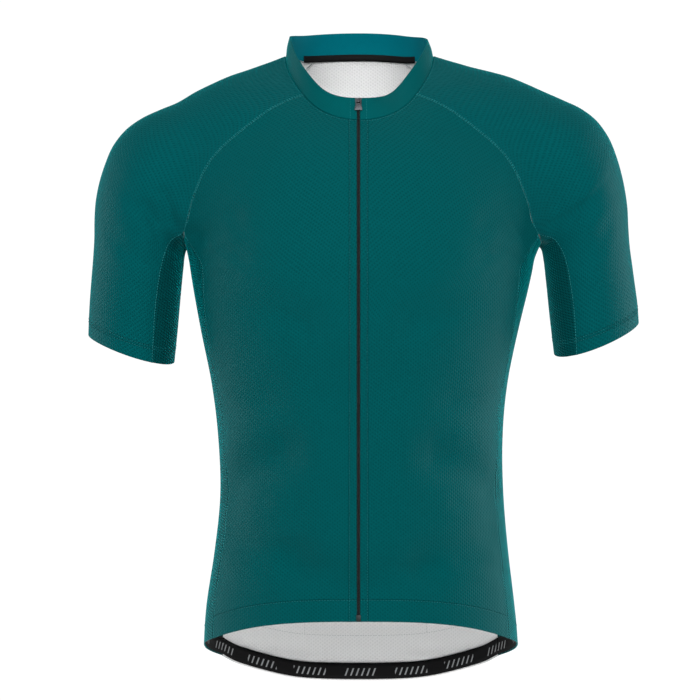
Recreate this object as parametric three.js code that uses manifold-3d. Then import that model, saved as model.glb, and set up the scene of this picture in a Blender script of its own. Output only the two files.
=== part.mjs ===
// Short-sleeved cycling jersey with raglan sleeves, a full-length zip and rear pockets.
// It is filled out as if worn, with nobody in it. Millimetres, +Z up, front towards -Y, +X to its left arm.
// The origin is the middle of the neck, level with the collar seam at the sides.
import * as THREE from 'three';
import { mergeVertices } from 'three/addons/utils/BufferGeometryUtils.js';
import Module from 'manifold-3d';

const wasm = await Module();
wasm.setup();

// Cloth and seams
const CLOTH = 1.6; // wall of knit cloth, with its seam allowances
const SEAM_GAP = 0.3; // between the edges of two panels
const LAY_GAP = 0.3; // between a panel and what lies on it
const ARMPIT_EASE = { inset: 0.25, reach: 14 }; // more of a gap round the ends of the underarm seam

// Body: rings from the drop tail up to the neck, each with its reach from the middle line
const BODY_RINGS = [
  { z: -720, left: 172, right: 175, front: 108, back: 112, power: 2.4 },
  { z: -645, left: 171, right: 174, front: 108, back: 112, power: 2.4 },
  { z: -600, left: 168, right: 170, front: 108, back: 109, power: 2.4 },
  { z: -540, left: 159, right: 163, front: 107, back: 105, power: 2.4 },
  { z: -480, left: 153, right: 158, front: 106, back: 97, power: 2.4 },
  { z: -420, left: 155, right: 157, front: 109, back: 91, power: 2.4 },
  { z: -360, left: 162, right: 162, front: 114, back: 95, power: 2.4 },
  { z: -300, left: 174, right: 174, front: 121, back: 104, power: 2.4 },
  { z: -250, left: 183, right: 186, front: 123, back: 111, power: 2.4 },
  { z: -205, left: 189, right: 194, front: 119, back: 117, power: 2.4 },
  { z: -150, left: 186, right: 189, front: 108, back: 118, power: 2.4 },
  { z: -110, left: 182, right: 184, front: 96, back: 115, power: 2.3 },
  { z: -72, left: 176, right: 178, front: 77, back: 106, power: 2.2 },
  { z: -43, left: 164, right: 170, front: 54, back: 96, power: 2.2 },
  { z: -25, left: 138, right: 146, front: 35, back: 88, power: 2.2 },
  { z: -10, left: 102, right: 104, front: 21, back: 80, power: 2.2 },
  { z: 0, left: 81, right: 79, front: 15, back: 76, power: 2.2 },
  { z: 20, left: 60, right: 60, front: 10, back: 60, power: 2.2 },
  { z: 60, left: 20, right: 20, front: 5, back: 25, power: 2.2 },
];

// Sleeve: its middle line falls along the shoulder, bends, and hangs down the arm
const SLEEVE_BEND = 80; // radius of the middle line at the shoulder
const SLEEVE_BACK = 6; // how far behind the middle the arm hangs
const SLEEVE_SPREAD = 1.8; // how much longer the outside of the bend is than its middle line
const SLEEVE_LINES = {
  left: { cornerX: 236, cornerZ: -136, shoulderFall: 22, armSpread: 4.2 },
  right: { cornerX: 243, cornerZ: -122, shoulderFall: 18, armSpread: 5 },
};

// Sleeve sections, by their distance along the middle line from the start of the shoulder bend
const SLEEVE_SECTIONS = [
  { s: -110, leftOuter: 50, rightOuter: 50, inner: 52, front: 44, back: 54 },
  { s: -60, leftOuter: 58, rightOuter: 58, inner: 62, front: 52, back: 60 },
  { s: -20, leftOuter: 65, rightOuter: 65, inner: 70, front: 57, back: 64 },
  { s: 5, leftOuter: 68, rightOuter: 67, inner: 72, front: 58, back: 65 },
  { s: 25, leftOuter: 69.3, rightOuter: 67.3, inner: 74, front: 59, back: 65 },
  { s: 38, leftOuter: 66.8, rightOuter: 64.2, inner: 74, front: 60, back: 65 },
  { s: 52, leftOuter: 61.3, rightOuter: 57.8, inner: 72, front: 60, back: 64 },
  { s: 67, leftOuter: 56.8, rightOuter: 52.2, inner: 68, front: 59, back: 63 },
  { s: 80, leftOuter: 54, rightOuter: 49.2, inner: 62, front: 58, back: 61 },
  { s: 90, leftOuter: 52.3, rightOuter: 48.2, inner: 57, front: 58, back: 60 },
  { s: 103, leftOuter: 51.5, rightOuter: 47.5, inner: 50.5, front: 57, back: 58 },
  { s: 125, leftOuter: 51.1, rightOuter: 46.8, inner: 49, front: 55, back: 56 },
  { s: 165, leftOuter: 51.4, rightOuter: 48.6, inner: 48, front: 51, back: 52 },
  { s: 200, leftOuter: 50.8, rightOuter: 50, inner: 47.5, front: 48, back: 48 },
  { s: 250, leftOuter: 48, rightOuter: 48, inner: 46, front: 46, back: 46 },
];

// Where sleeve and body run into each other they are rounded, most at the shoulder and least in the
// armpit, where the rounding grows faster in front and behind than in the middle
const BLEND = { shoulder: 46, middleRise: 64, outerRise: 24, deep: 40 };
const ARMPITS = { left: { blend: 6, z: -212 }, right: { blend: 13, z: -216 } };

// Neck seam, seen from above
const NECK = { half: 81, front: 78, back: 72, power: 2.2 };

// Raglan seams, seen from the front and from the back, from the neck down
const RAGLAN_FRONT = [
  { x: 61, z: -42 },
  { x: 90, z: -57 },
  { x: 120, z: -77 },
  { x: 148, z: -101 },
  { x: 163, z: -119 },
  { x: 173, z: -139 },
  { x: 181, z: -159 },
  { x: 186, z: -178 },
];
const RAGLAN_BACK = [
  { x: 52, z: 3 },
  { x: 82, z: -24 },
  { x: 112, z: -58 },
  { x: 138, z: -93 },
  { x: 158, z: -127 },
  { x: 173, z: -157 },
  { x: 183, z: -181 },
];

// Underarm seam, across the armpit: its ends, and how far back the places along its crease are
const UNDERARM = {
  left: { x: 191, z: -194 },
  right: { x: 195, z: -196 },
  creases: [-14, 8, 30],
  narrow: 184,
  wide: 206,
};

// Side seams of the body: how far round they lie from straight sideways
const SIDE_SEAM = [
  { z: -720, degrees: 17 },
  { z: -600, degrees: 16.7 },
  { z: -500, degrees: 16.5 },
  { z: -400, degrees: 15.5 },
  { z: -310, degrees: 15.6 },
  { z: -260, degrees: 17.5 },
  { z: -224, degrees: 17 },
  { z: -206, degrees: 12 },
];
const SIDE_SEAM_BACK_EXTRA = 4; // degrees by which the back seam lies further round

// Underarm mesh on the sleeve: how far round its seams lie from straight outwards, below the armpit
const SLEEVE_MESH_SEAM = [
  { below: 12, degrees: 131 },
  { below: 30, degrees: 123.5 },
  { below: 55, degrees: 120.5 },
  { below: 85, degrees: 120 },
];
const CUFF_MESH_DEGREES = 123;

// Cuffs: distance along the sleeve, longer on the inner side and in front
const CUFFS = {
  left: { middle: 223, inner: 12, front: 9 },
  right: { middle: 227, inner: 14, front: 11 },
};

// Hem: its height, from the front to the drop tail at the back
const HEM = [
  { y: -112, z: -609 },
  { y: -104, z: -611.5 },
  { y: -92, z: -616.5 },
  { y: -70, z: -626 },
  { y: -50, z: -633 },
  { y: 0, z: -645.5 },
  { y: 60, z: -663 },
  { y: 72, z: -670.5 },
  { y: 85, z: -678 },
  { y: 97, z: -686 },
  { y: 107, z: -694 },
  { y: 114, z: -698 },
];

// Collar band
const COLLAR = {
  atZip: { high: 23.5, lean: 14 },
  atLeft: { high: 20, lean: 11, quarterDip: 3.5, quarterLean: 0 },
  atRight: { high: 16, lean: 19, quarterDip: 0, quarterLean: 20 },
  atBack: { high: 28.5, lean: 8 },
  lift: 1, // above the edges of the panels
  bow: 0.8,
  rows: 2,
};
const NECK_TAPE = { half: 64, low: 0.3, high: 5, thick: 0.8 };

// Zip: its middle line, and from there to the edge of each front
const ZIP = { x: -1.5, half: 2.6 };
const ZIP_TAPE = { inner: 0.4, outer: 11, thick: 0.8, aboveHem: 1 };
const ZIP_COIL = { half: 2.25, sunk: 0.3, thick: 1.3, aboveHem: 8 };
const ZIP_BOX = { half: 2.3, thick: 2.3, proud: 0.7, low: 0.8, high: 7.4 };

// Slider and pull, measured across, outwards from the collar, and down from its top edge
const SLIDER = { wide: 7.4, narrow: 6.2, top: 0.4, long: 8, off: 0.35, thick: 1.1, corner: 1.4 };
const BRIDGE = { wide: 2.6, windowHalf: 1.2, clear: 1.05, thick: 0.8, down: 4.2 };
const PULL = { long: 10.5, top: 4.9, bottom: 8.6, thick: 1.1, hole: 3.3, holeLong: 3.4, corner: 1 };

// Elastic gripper inside the side and back hem
const GRIPPER = { low: 1.2, high: 20, thick: 1.1 };

// Rear pockets: three side by side on the back, given by the rows and columns of the back panel
const POCKETS = {
  topRow: 22,
  bottomRow: 29,
  seams: [1, 5, 16, 21],
  swell: 7, // how far the mouths stand off
  thick: 1.4,
};

// Largest folds: each runs between two places, falls or stands off by its depth
const FOLDS = [
  { from: [-150, -60, -250], to: [-60, -118, -292], half: 21, depth: -5.2 },
  { from: [150, -60, -250], to: [58, -118, -290], half: 21, depth: -4.8 },
  { from: [-52, -119, -250], to: [-8, -121, -272], half: 24, depth: -2 },
  { from: [50, -119, -250], to: [8, -121, -270], half: 24, depth: -2 },
  { from: [-146, -62, -470], to: [-84, -97, -432], half: 22, depth: -7.5 },
  { from: [148, -62, -470], to: [86, -97, -436], half: 22, depth: -7 },
  { from: [-140, -66, -520], to: [-70, -100, -548], half: 20, depth: -5.4 },
  { from: [-70, -100, -548], to: [-12, -108, -574], half: 20, depth: -4.2 },
  { from: [142, -66, -522], to: [72, -100, -552], half: 20, depth: -5 },
  { from: [72, -100, -552], to: [14, -108, -572], half: 20, depth: -3.8 },
  { from: [-158, -40, -398], to: [-96, -98, -372], half: 18, depth: -3 },
  { from: [158, -40, -396], to: [98, -98, -376], half: 18, depth: -2.6 },
  { from: [-40, -110, -400], to: [-34, -107, -520], half: 26, depth: 2.2 },
  { from: [42, -110, -404], to: [36, -107, -516], half: 26, depth: 2 },
  { from: [-170, -60, -200], to: [-138, -90, -176], half: 13, depth: -4.4 },
  { from: [172, -60, -200], to: [142, -90, -178], half: 13, depth: -4 },
  { from: [-176, -52, -226], to: [-130, -94, -214], half: 13, depth: -3.2 },
  { from: [180, -52, -228], to: [134, -94, -216], half: 13, depth: -3 },
  { from: [-220, -46, -180], to: [-242, -53, -156], half: 13, depth: -3.6 },
  { from: [226, -46, -180], to: [248, -53, -158], half: 13, depth: -3.2 },
  { from: [-222, -46, -212], to: [-262, -44, -196], half: 12, depth: -2.6 },
  { from: [228, -46, -214], to: [268, -44, -198], half: 12, depth: -2.4 },
  { from: [-112, -70, -84], to: [-176, -56, -92], half: 20, depth: -2.4 },
  { from: [114, -70, -84], to: [180, -56, -90], half: 20, depth: -2.2 },
  { from: [-170, 60, -250], to: [-80, 104, -290], half: 20, depth: -4 },
  { from: [172, 60, -250], to: [82, 104, -288], half: 20, depth: -3.8 },
  { from: [-150, 50, -400], to: [-60, 88, -420], half: 18, depth: -3.6 },
  { from: [152, 50, -402], to: [62, 88, -424], half: 18, depth: -3.4 },
  { from: [-148, 48, -452], to: [-58, 92, -462], half: 17, depth: -3.4 },
  { from: [150, 48, -450], to: [56, 92, -464], half: 17, depth: -3.2 },
  { from: [-170, 74, -206], to: [-134, 98, -176], half: 14, depth: -4.4 },
  { from: [174, 74, -206], to: [138, 98, -176], half: 14, depth: -4 },
  { from: [-226, 66, -186], to: [-252, 62, -166], half: 13, depth: -3.2 },
  { from: [232, 66, -186], to: [258, 62, -168], half: 13, depth: -3 },
  { from: [0, 92, -34], to: [0, 114, -96], half: 22, depth: -1.6 },
];

// How a place on the form is found from inside it: so many steps, each a share of the distance left
const CAST = { steps: 70, share: 0.8 };
const NECK_FROM = -95; // height under the neck seam from which its places are found
const HEM_FROM = -645; // height from which the hem is found
const SIDE_SEAM_END = -640; // the side seams run down to the hem from above this height
const ZIP_FOOT = -600; // height near the lower end of the zip

// Panel divisions
const RAGLAN_ROWS = 11;
const SIDE_ROWS = 20;
const MESH_ROWS = 9;
const FRONT_COLUMNS = 12;
const BACK_COLUMNS = 22;
const SLEEVE_COLUMNS = 20;
const SIDE_COLUMNS = 6;

const radians = (degrees) => (degrees * Math.PI) / 180;
const clamp = (value, low, high) => Math.min(Math.max(value, low), high);
const mix = (a, b, t) => a + (b - a) * t;
const soften = (t) => t * t * (3 - 2 * t);
const vector = (x, y, z) => new THREE.Vector3(x, y, z);

// Every column of a table at a place between its rows, on a smooth curve through them
function rowAt(rows, key, place) {
  const last = rows.length - 1;
  const at = clamp(place, rows[0][key], rows[last][key]);
  let i = 0;
  while (i < last - 1 && at > rows[i + 1][key]) i += 1;
  const low = rows[i];
  const high = rows[i + 1];
  const before = rows[Math.max(i - 1, 0)];
  const after = rows[Math.min(i + 2, last)];
  const span = high[key] - low[key];
  const t = (at - low[key]) / span;
  const result = {};
  for (const name of Object.keys(low)) {
    const leave = ((high[name] - before[name]) / (high[key] - before[key])) * span;
    const arrive = ((after[name] - low[name]) / (after[key] - low[key])) * span;
    const bend = (t * t * t - 2 * t * t + t) * leave + (t * t * t - t * t) * arrive;
    result[name] = mix(low[name], high[name], soften(t)) + bend;
  }
  return result;
}

// How far a body ring lies from the middle line, in the direction of a place
function ringReach(z, x, y) {
  const ring = rowAt(BODY_RINGS, 'z', z);
  const half = x < 0 ? ring.left : ring.right;
  const deep = y < 0 ? ring.front : ring.back;
  const away = Math.hypot(x, y);
  if (away < 1e-6) return Math.min(half, deep);
  const ratio = Math.abs(x / half) ** ring.power + Math.abs(y / deep) ** ring.power;
  return away / ratio ** (1 / ring.power);
}

// Distance of a place from the body's surface, less than zero inside
function bodyDistance(p) {
  const reach = ringReach(p.z, p.x, p.y);
  const slope = (ringReach(p.z + 1, p.x, p.y) - ringReach(p.z - 1, p.x, p.y)) / 2;
  return (Math.hypot(p.x, p.y) - reach) / Math.hypot(1, slope);
}

const sideName = (x) => (x < 0 ? 'left' : 'right');

// Middle line of a sleeve: two straight lines and the arc between them
function sleeveLine(side) {
  const line = SLEEVE_LINES[side];
  const fall = radians(line.shoulderFall);
  const turned = radians(90 - line.armSpread);
  const tangent = SLEEVE_BEND * Math.tan((turned - fall) / 2);
  const start = [line.cornerX - tangent * Math.cos(fall), line.cornerZ + tangent * Math.sin(fall)];
  const centre = [start[0] - SLEEVE_BEND * Math.sin(fall), start[1] - SLEEVE_BEND * Math.cos(fall)];
  return { fall, turned, centre };
}
const SLEEVES = { left: sleeveLine('left'), right: sleeveLine('right') };

// A place in a sleeve's own measures: along its middle line, outwards from it, and backwards
function sleevePlace(side, p) {
  const { fall, turned, centre } = SLEEVES[side];
  const x = Math.abs(p.x) - centre[0];
  const z = p.z - centre[1];
  let angle = Math.atan2(x, z);
  if (angle < (fall + turned) / 2 - Math.PI) angle += 2 * Math.PI;
  const held = clamp(angle, fall, turned);
  const out = x * Math.sin(held) + z * Math.cos(held) - SLEEVE_BEND;
  const past = x * Math.cos(held) - z * Math.sin(held);
  return { s: SLEEVE_BEND * (held - fall) + past, out, back: p.y - SLEEVE_BACK };
}

// A place on a sleeve's middle line, and the direction that points outwards from it
function sleeveBone(side, s) {
  const { fall, turned, centre } = SLEEVES[side];
  const held = clamp(fall + s / SLEEVE_BEND, fall, turned);
  const past = s - SLEEVE_BEND * (held - fall);
  const sign = side === 'left' ? -1 : 1;
  const x = centre[0] + SLEEVE_BEND * Math.sin(held) + past * Math.cos(held);
  const z = centre[1] + SLEEVE_BEND * Math.cos(held) - past * Math.sin(held);
  return {
    point: vector(sign * x, SLEEVE_BACK, z),
    outwards: vector(sign * Math.sin(held), 0, Math.cos(held)),
  };
}

function sleeveDistance(p) {
  const side = sideName(p.x);
  const place = sleevePlace(side, p);
  const section = rowAt(SLEEVE_SECTIONS, 's', place.s);
  const outer = side === 'left' ? section.leftOuter : section.rightOuter;
  const half = place.out > 0 ? outer : section.inner;
  const deep = place.back < 0 ? section.front : section.back;
  const before = Math.min(place.s - SLEEVE_SECTIONS[0].s, 0);
  const away = Math.hypot(place.out, place.back, before);
  const ratio = Math.hypot(place.out / half, place.back / deep, before / half);
  return ratio < 1e-6 ? -half : away - away / ratio;
}

// Distance of a place from the whole form, less than zero inside
function formDistance(p) {
  const body = bodyDistance(p);
  const sleeve = sleeveDistance(p);
  const outer = clamp(Math.abs(p.y - SLEEVE_BACK) / BLEND.deep, 0, 1);
  const height = mix(BLEND.middleRise, BLEND.outerRise, soften(outer));
  const armpit = ARMPITS[sideName(p.x)];
  const rise = clamp((p.z - armpit.z) / height, 0, 1);
  const size = mix(armpit.blend, BLEND.shoulder, soften(rise));
  const near = Math.max(size - Math.abs(body - sleeve), 0) / size;
  return Math.min(body, sleeve) - (near * near * size) / 4;
}

function formNormal(p) {
  const step = 0.5;
  const along = (x, y, z) =>
    formDistance(vector(p.x + x, p.y + y, p.z + z)) - formDistance(vector(p.x - x, p.y - y, p.z - z));
  return vector(along(step, 0, 0), along(0, step, 0), along(0, 0, step)).normalize();
}

// First place where a line from inside leaves the form
function cast(from, direction) {
  const p = from.clone();
  for (let step = 0; step < CAST.steps; step += 1) {
    p.addScaledVector(direction, -CAST.share * formDistance(p));
  }
  return p;
}

// Nearest place on the form to one that lies close to it
function settle(p) {
  const placed = p.clone();
  for (let step = 0; step < 4; step += 1) {
    placed.addScaledVector(formNormal(placed), -formDistance(placed));
  }
  return placed;
}

// How far the folds move the cloth at a place
function foldDepth(p) {
  let depth = 0;
  for (const fold of FOLDS) {
    const from = vector(...fold.from);
    const line = vector(...fold.to).sub(from);
    const t = clamp(p.clone().sub(from).dot(line) / line.lengthSq(), 0, 1);
    const away = p.distanceTo(from.addScaledVector(line, t));
    depth += fold.depth * Math.exp(-((away / fold.half) ** 2));
  }
  return depth;
}

// Evenly spaced places on the form along a smooth curve through a few of its places
function seamThrough(places, divisions) {
  const curve = new THREE.CatmullRomCurve3(places, false, 'centripetal');
  curve.arcLengthDivisions = 400;
  return curve.getSpacedPoints(divisions).map(settle);
}

// A body panel is charted by its angle round an upright line and its height
function bodyChart(lineY, facingX, facingY) {
  return {
    read(p) {
      const x = p.x;
      const y = p.y - lineY;
      const angle = Math.atan2(facingX * y - facingY * x, facingX * x + facingY * y);
      return [angle, p.z];
    },
    place([angle, z]) {
      const x = facingX * Math.cos(angle) - facingY * Math.sin(angle);
      const y = facingX * Math.sin(angle) + facingY * Math.cos(angle);
      return cast(vector(0, lineY, z), vector(x, y, 0));
    },
  };
}

// A sleeve panel is charted by its place along the sleeve and its turn round the middle line
function sleeveChart(side, facing) {
  return {
    read(p) {
      const place = sleevePlace(side, p);
      const turn = Math.atan2(place.back, place.out) - facing;
      return [place.s, Math.atan2(Math.sin(turn), Math.cos(turn))];
    },
    place([s, turn]) {
      const bone = sleeveBone(side, s);
      const direction = bone.outwards.multiplyScalar(Math.cos(turn + facing));
      direction.y = Math.sin(turn + facing);
      return cast(bone.point, direction);
    },
  };
}

const FRONT_CHART = bodyChart(25, 0, -1);
const BACK_CHART = bodyChart(15, 0, 1);
const SIDE_CHARTS = { left: bodyChart(0, -1, 0), right: bodyChart(0, 1, 0) };
const SLEEVE_CHARTS = { left: sleeveChart('left', 0), right: sleeveChart('right', 0) };
const MESH_CHARTS = { left: sleeveChart('left', Math.PI), right: sleeveChart('right', Math.PI) };

// A sleeve's own panel has its rows spread evenly over the outside of the bend
function spreadChart(side) {
  const chart = SLEEVE_CHARTS[side];
  const { fall, turned } = SLEEVES[side];
  const bend = SLEEVE_BEND * (turned - fall);
  return {
    spread: true,
    read(p) {
      const [s, turn] = chart.read(p);
      return [s + (SLEEVE_SPREAD - 1) * clamp(s, 0, bend), turn];
    },
    place([run, turn]) {
      const past = clamp(run, 0, bend * SLEEVE_SPREAD);
      return chart.place([run - (1 - 1 / SLEEVE_SPREAD) * past, turn]);
    },
  };
}

// Fills a panel between its four edges, each a row of places on the form. Where the rows are spread,
// the side edges pull on them less towards the middle
function panelGrid(chart, top, bottom, start, end) {
  const [topPlaces, bottomPlaces, startPlaces, endPlaces] = [top, bottom, start, end].map((edge) =>
    edge.map((p) => chart.read(p)),
  );
  const rows = start.length - 1;
  const columns = top.length - 1;
  const grid = [];
  for (let j = 0; j <= rows; j += 1) {
    const row = [];
    for (let i = 0; i <= columns; i += 1) {
      const u = i / columns;
      const v = j / rows;
      const place = [0, 1].map((axis) => {
        const across = mix(startPlaces[j][axis], endPlaces[j][axis], u);
        const down = mix(topPlaces[i][axis], bottomPlaces[i][axis], v);
        const upper = mix(topPlaces[0][axis], topPlaces[columns][axis], u);
        const lower = mix(bottomPlaces[0][axis], bottomPlaces[columns][axis], u);
        const pull = chart.spread && axis === 0 ? (2 * u - 1) ** 2 : 1;
        return down + pull * (across - mix(upper, lower, v));
      });
      if (j === 0) row.push(top[i].clone());
      else if (j === rows) row.push(bottom[i].clone());
      else if (i === 0) row.push(start[j].clone());
      else if (i === columns) row.push(end[j].clone());
      else row.push(chart.place(place));
    }
    grid.push(row);
  }
  return grid;
}

// Moves the rim of a panel inwards along the cloth, by half the gap of a seam.
// Where four panels meet at an end of the underarm seam, the cloth turns sharply and stands further off.
function drawIn(grid) {
  const rows = grid.length - 1;
  const columns = grid[0].length - 1;
  const moved = grid.map((row) => row.map((p) => p.clone()));
  const shift = (j, i, before, after, inside) => {
    const along = after.clone().sub(before).normalize();
    const inwards = inside.clone().sub(grid[j][i]);
    inwards.addScaledVector(along, -inwards.dot(along)).normalize();
    const away = Math.min(...ARMPIT_ENDS.map((end) => end.distanceTo(grid[j][i])));
    const inset = SEAM_GAP / 2 + ARMPIT_EASE.inset * Math.exp(-((away / ARMPIT_EASE.reach) ** 2));
    moved[j][i].addScaledVector(inwards, inset);
  };
  for (let i = 0; i <= columns; i += 1) {
    const before = Math.max(i - 1, 0);
    const after = Math.min(i + 1, columns);
    shift(0, i, grid[0][before], grid[0][after], grid[1][i]);
    shift(rows, i, grid[rows][before], grid[rows][after], grid[rows - 1][i]);
  }
  for (let j = 0; j <= rows; j += 1) {
    const before = Math.max(j - 1, 0);
    const after = Math.min(j + 1, rows);
    shift(j, 0, grid[before][0], grid[after][0], grid[j][1]);
    shift(j, columns, grid[before][columns], grid[after][columns], grid[j][columns - 1]);
  }
  return moved;
}

// Direction that a place of a grid faces, from its neighbours
function facing(grid, j, i) {
  const rows = grid.length - 1;
  const columns = grid[0].length - 1;
  const along = grid[j][Math.min(i + 1, columns)].clone().sub(grid[j][Math.max(i - 1, 0)]);
  const down = grid[Math.min(j + 1, rows)][i].clone().sub(grid[Math.max(j - 1, 0)][i]);
  return down.cross(along).normalize();
}

// A grid moved off its own surface, by a rule of row and column
function moveOff(grid, normals, distance) {
  return grid.map((row, j) => row.map((p, i) => p.clone().addScaledVector(normals[j][i], distance(j, i))));
}

// Turns a grid round so that it faces outwards
const flipped = (grid) => grid.map((row) => [...row].reverse());

// Closed wall between an outer grid and an inner one
function wallBetween(outer, inner) {
  const rows = outer.length - 1;
  const columns = outer[0].length - 1;
  const positions = [];
  for (const grid of [outer, inner]) {
    for (const row of grid) {
      for (const p of row) positions.push(p.x, p.y, p.z);
    }
  }
  const width = columns + 1;
  const layer = width * (rows + 1);
  const indices = [];
  const quad = (a, b, c, d) => indices.push(a, b, c, a, c, d);
  for (let j = 0; j < rows; j += 1) {
    for (let i = 0; i < columns; i += 1) {
      const a = j * width + i;
      quad(a, a + width, a + width + 1, a + 1);
      quad(a + layer, a + layer + 1, a + layer + width + 1, a + layer + width);
    }
  }
  const rim = [];
  for (let i = 0; i < columns; i += 1) rim.push(i);
  for (let j = 0; j < rows; j += 1) rim.push(j * width + columns);
  for (let i = columns; i > 0; i -= 1) rim.push(rows * width + i);
  for (let j = rows; j > 0; j -= 1) rim.push(j * width);
  rim.forEach((a, k) => {
    const b = rim[(k + 1) % rim.length];
    quad(a, b, b + layer, a + layer);
  });
  const geometry = new THREE.BufferGeometry();
  geometry.setAttribute('position', new THREE.Float32BufferAttribute(positions, 3));
  geometry.setIndex(indices);
  geometry.computeVertexNormals();
  return geometry;
}

// Panel of cloth: folded, parted from its neighbours, with the direction its wall goes.
// In the armpit the seam runs along a crease, so each panel there keeps half its own direction.
function clothPanel(grid, creased) {
  const normals = grid.map((row) => row.map(formNormal));
  const folded = grid.map((row, j) =>
    row.map((p, i) => p.clone().addScaledVector(normals[j][i], foldDepth(p))),
  );
  const outer = drawIn(folded);
  if (creased) {
    for (let i = 1; i < outer[0].length - 1; i += 1) normals[0][i].add(facing(outer, 0, i)).normalize();
  }
  return { outer, normals, inner: moveOff(outer, normals, () => -CLOTH) };
}

// Places on the form, met from inside in one direction
const frontPlace = (x, z) => cast(vector(x, 0, z), vector(0, -1, 0));
const backPlace = (x, z) => cast(vector(x, 0, z), vector(0, 1, 0));

// Highest place of the hollow under the arm, at a distance back
function creasePlace(sign, y) {
  const below = (x) => cast(vector(sign * x, y, -160), vector(0, 0, -1));
  let { narrow, wide } = UNDERARM;
  for (let step = 0; step < 30; step += 1) {
    const third = (wide - narrow) / 3;
    if (below(narrow + third).z < below(wide - third).z) narrow += third;
    else wide -= third;
  }
  return below((narrow + wide) / 2);
}

// Neck seam: a place at an angle round from the front, towards the right
function neckPlace(angle) {
  const across = Math.sin(angle);
  const forward = Math.cos(angle);
  const deep = forward > 0 ? NECK.front : NECK.back;
  const ratio = Math.abs(across / NECK.half) ** NECK.power + Math.abs(forward / deep) ** NECK.power;
  const reach = ratio ** (-1 / NECK.power);
  return cast(vector(across * reach, -forward * reach, NECK_FROM), vector(0, 0, 1));
}

// Angle at which the neck seam has a given distance from the middle
function neckAngle(x, front) {
  let low = front ? 0 : Math.PI / 2;
  let high = front ? Math.PI / 2 : Math.PI;
  for (let step = 0; step < 40; step += 1) {
    const middle = (low + high) / 2;
    if (neckPlace(middle).x < x === front) low = middle;
    else high = middle;
  }
  return (low + high) / 2;
}

const NECK_AT_ZIP = {
  left: neckAngle(ZIP.half - ZIP.x, true),
  right: neckAngle(ZIP.half + ZIP.x, true),
};
const NECK_AT_RAGLAN_FRONT = neckAngle(RAGLAN_FRONT[0].x, true);
const NECK_AT_RAGLAN_BACK = neckAngle(RAGLAN_BACK[0].x, false);

function neckRun(from, to, divisions) {
  const run = [];
  for (let i = 0; i <= divisions; i += 1) run.push(mix(from, to, i / divisions));
  return run;
}

// Seams of one side, each from top to bottom
function seamsOf(side) {
  const sign = side === 'left' ? -1 : 1;
  const neckFront = neckPlace(sign * NECK_AT_RAGLAN_FRONT);
  const neckBack = neckPlace(sign * NECK_AT_RAGLAN_BACK);
  const armpitFront = frontPlace(sign * UNDERARM[side].x, UNDERARM[side].z);
  const armpitBack = backPlace(sign * UNDERARM[side].x, UNDERARM[side].z);
  const creases = UNDERARM.creases.map((y) => creasePlace(sign, y));
  const underarm = seamThrough([armpitFront, ...creases, armpitBack], SIDE_COLUMNS);
  const raglanFront = seamThrough(
    [neckFront, ...RAGLAN_FRONT.slice(1).map(({ x, z }) => frontPlace(sign * x, z)), armpitFront],
    RAGLAN_ROWS,
  );
  const raglanBack = seamThrough(
    [neckBack, ...RAGLAN_BACK.slice(1).map(({ x, z }) => backPlace(sign * x, z)), armpitBack],
    RAGLAN_ROWS,
  );
  const sideSeam = (towards, extra, armpit) => {
    const chart = SIDE_CHARTS[side];
    const turn = ({ z, degrees }) => chart.place([-sign * towards * radians(degrees + extra), z]);
    const rows = SIDE_SEAM.filter(({ z }) => z > SIDE_SEAM_END).reverse();
    const hem = hemPlace(chart, -sign * towards * radians(SIDE_SEAM[0].degrees + extra));
    return seamThrough([armpit, ...rows.map(turn), hem], SIDE_ROWS);
  };
  const meshSeam = (towards, armpit) => {
    const chart = SLEEVE_CHARTS[side];
    const [armpitS] = chart.read(armpit);
    const turn = ({ below, degrees }) => chart.place([armpitS + below, towards * radians(degrees)]);
    const cuff = cuffPlace(side, towards * radians(CUFF_MESH_DEGREES));
    return seamThrough([armpit, ...SLEEVE_MESH_SEAM.map(turn), cuff], MESH_ROWS);
  };
  return {
    raglanFront,
    raglanBack,
    underarm,
    sideFront: sideSeam(1, 0, armpitFront),
    sideBack: sideSeam(-1, SIDE_SEAM_BACK_EXTRA, armpitBack),
    meshFront: meshSeam(-1, armpitFront),
    meshBack: meshSeam(1, armpitBack),
  };
}

// Place on the hem, at an angle of a body chart
function hemPlace(chart, angle) {
  let p = chart.place([angle, HEM_FROM]);
  for (let step = 0; step < 12; step += 1) p = chart.place([angle, rowAt(HEM, 'y', p.y).z]);
  return p;
}

// Place on the cuff, at a turn round the sleeve from straight outwards
function cuffPlace(side, turn) {
  const cuff = CUFFS[side];
  const s = cuff.middle - cuff.inner * Math.cos(turn) - cuff.front * Math.sin(turn);
  return SLEEVE_CHARTS[side].place([s, turn]);
}

// Hem between two side places, in equal steps of a chart's angle
function hemRun(chart, from, to, divisions) {
  const [first] = chart.read(from);
  const [last] = chart.read(to);
  const run = [];
  for (let i = 0; i <= divisions; i += 1) run.push(hemPlace(chart, mix(first, last, i / divisions)));
  run[0] = from.clone();
  run[divisions] = to.clone();
  return run;
}

function cuffRun(side, from, to, divisions) {
  const run = [];
  for (let i = 0; i <= divisions; i += 1) run.push(cuffPlace(side, mix(from, to, i / divisions)));
  return run;
}

const joined = (upper, lower) => [...upper, ...lower.slice(1)];
const SEAMS = { left: seamsOf('left'), right: seamsOf('right') };
const ARMPIT_ENDS = Object.values(SEAMS).flatMap(({ underarm }) => [underarm[0], underarm.at(-1)]);

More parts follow.
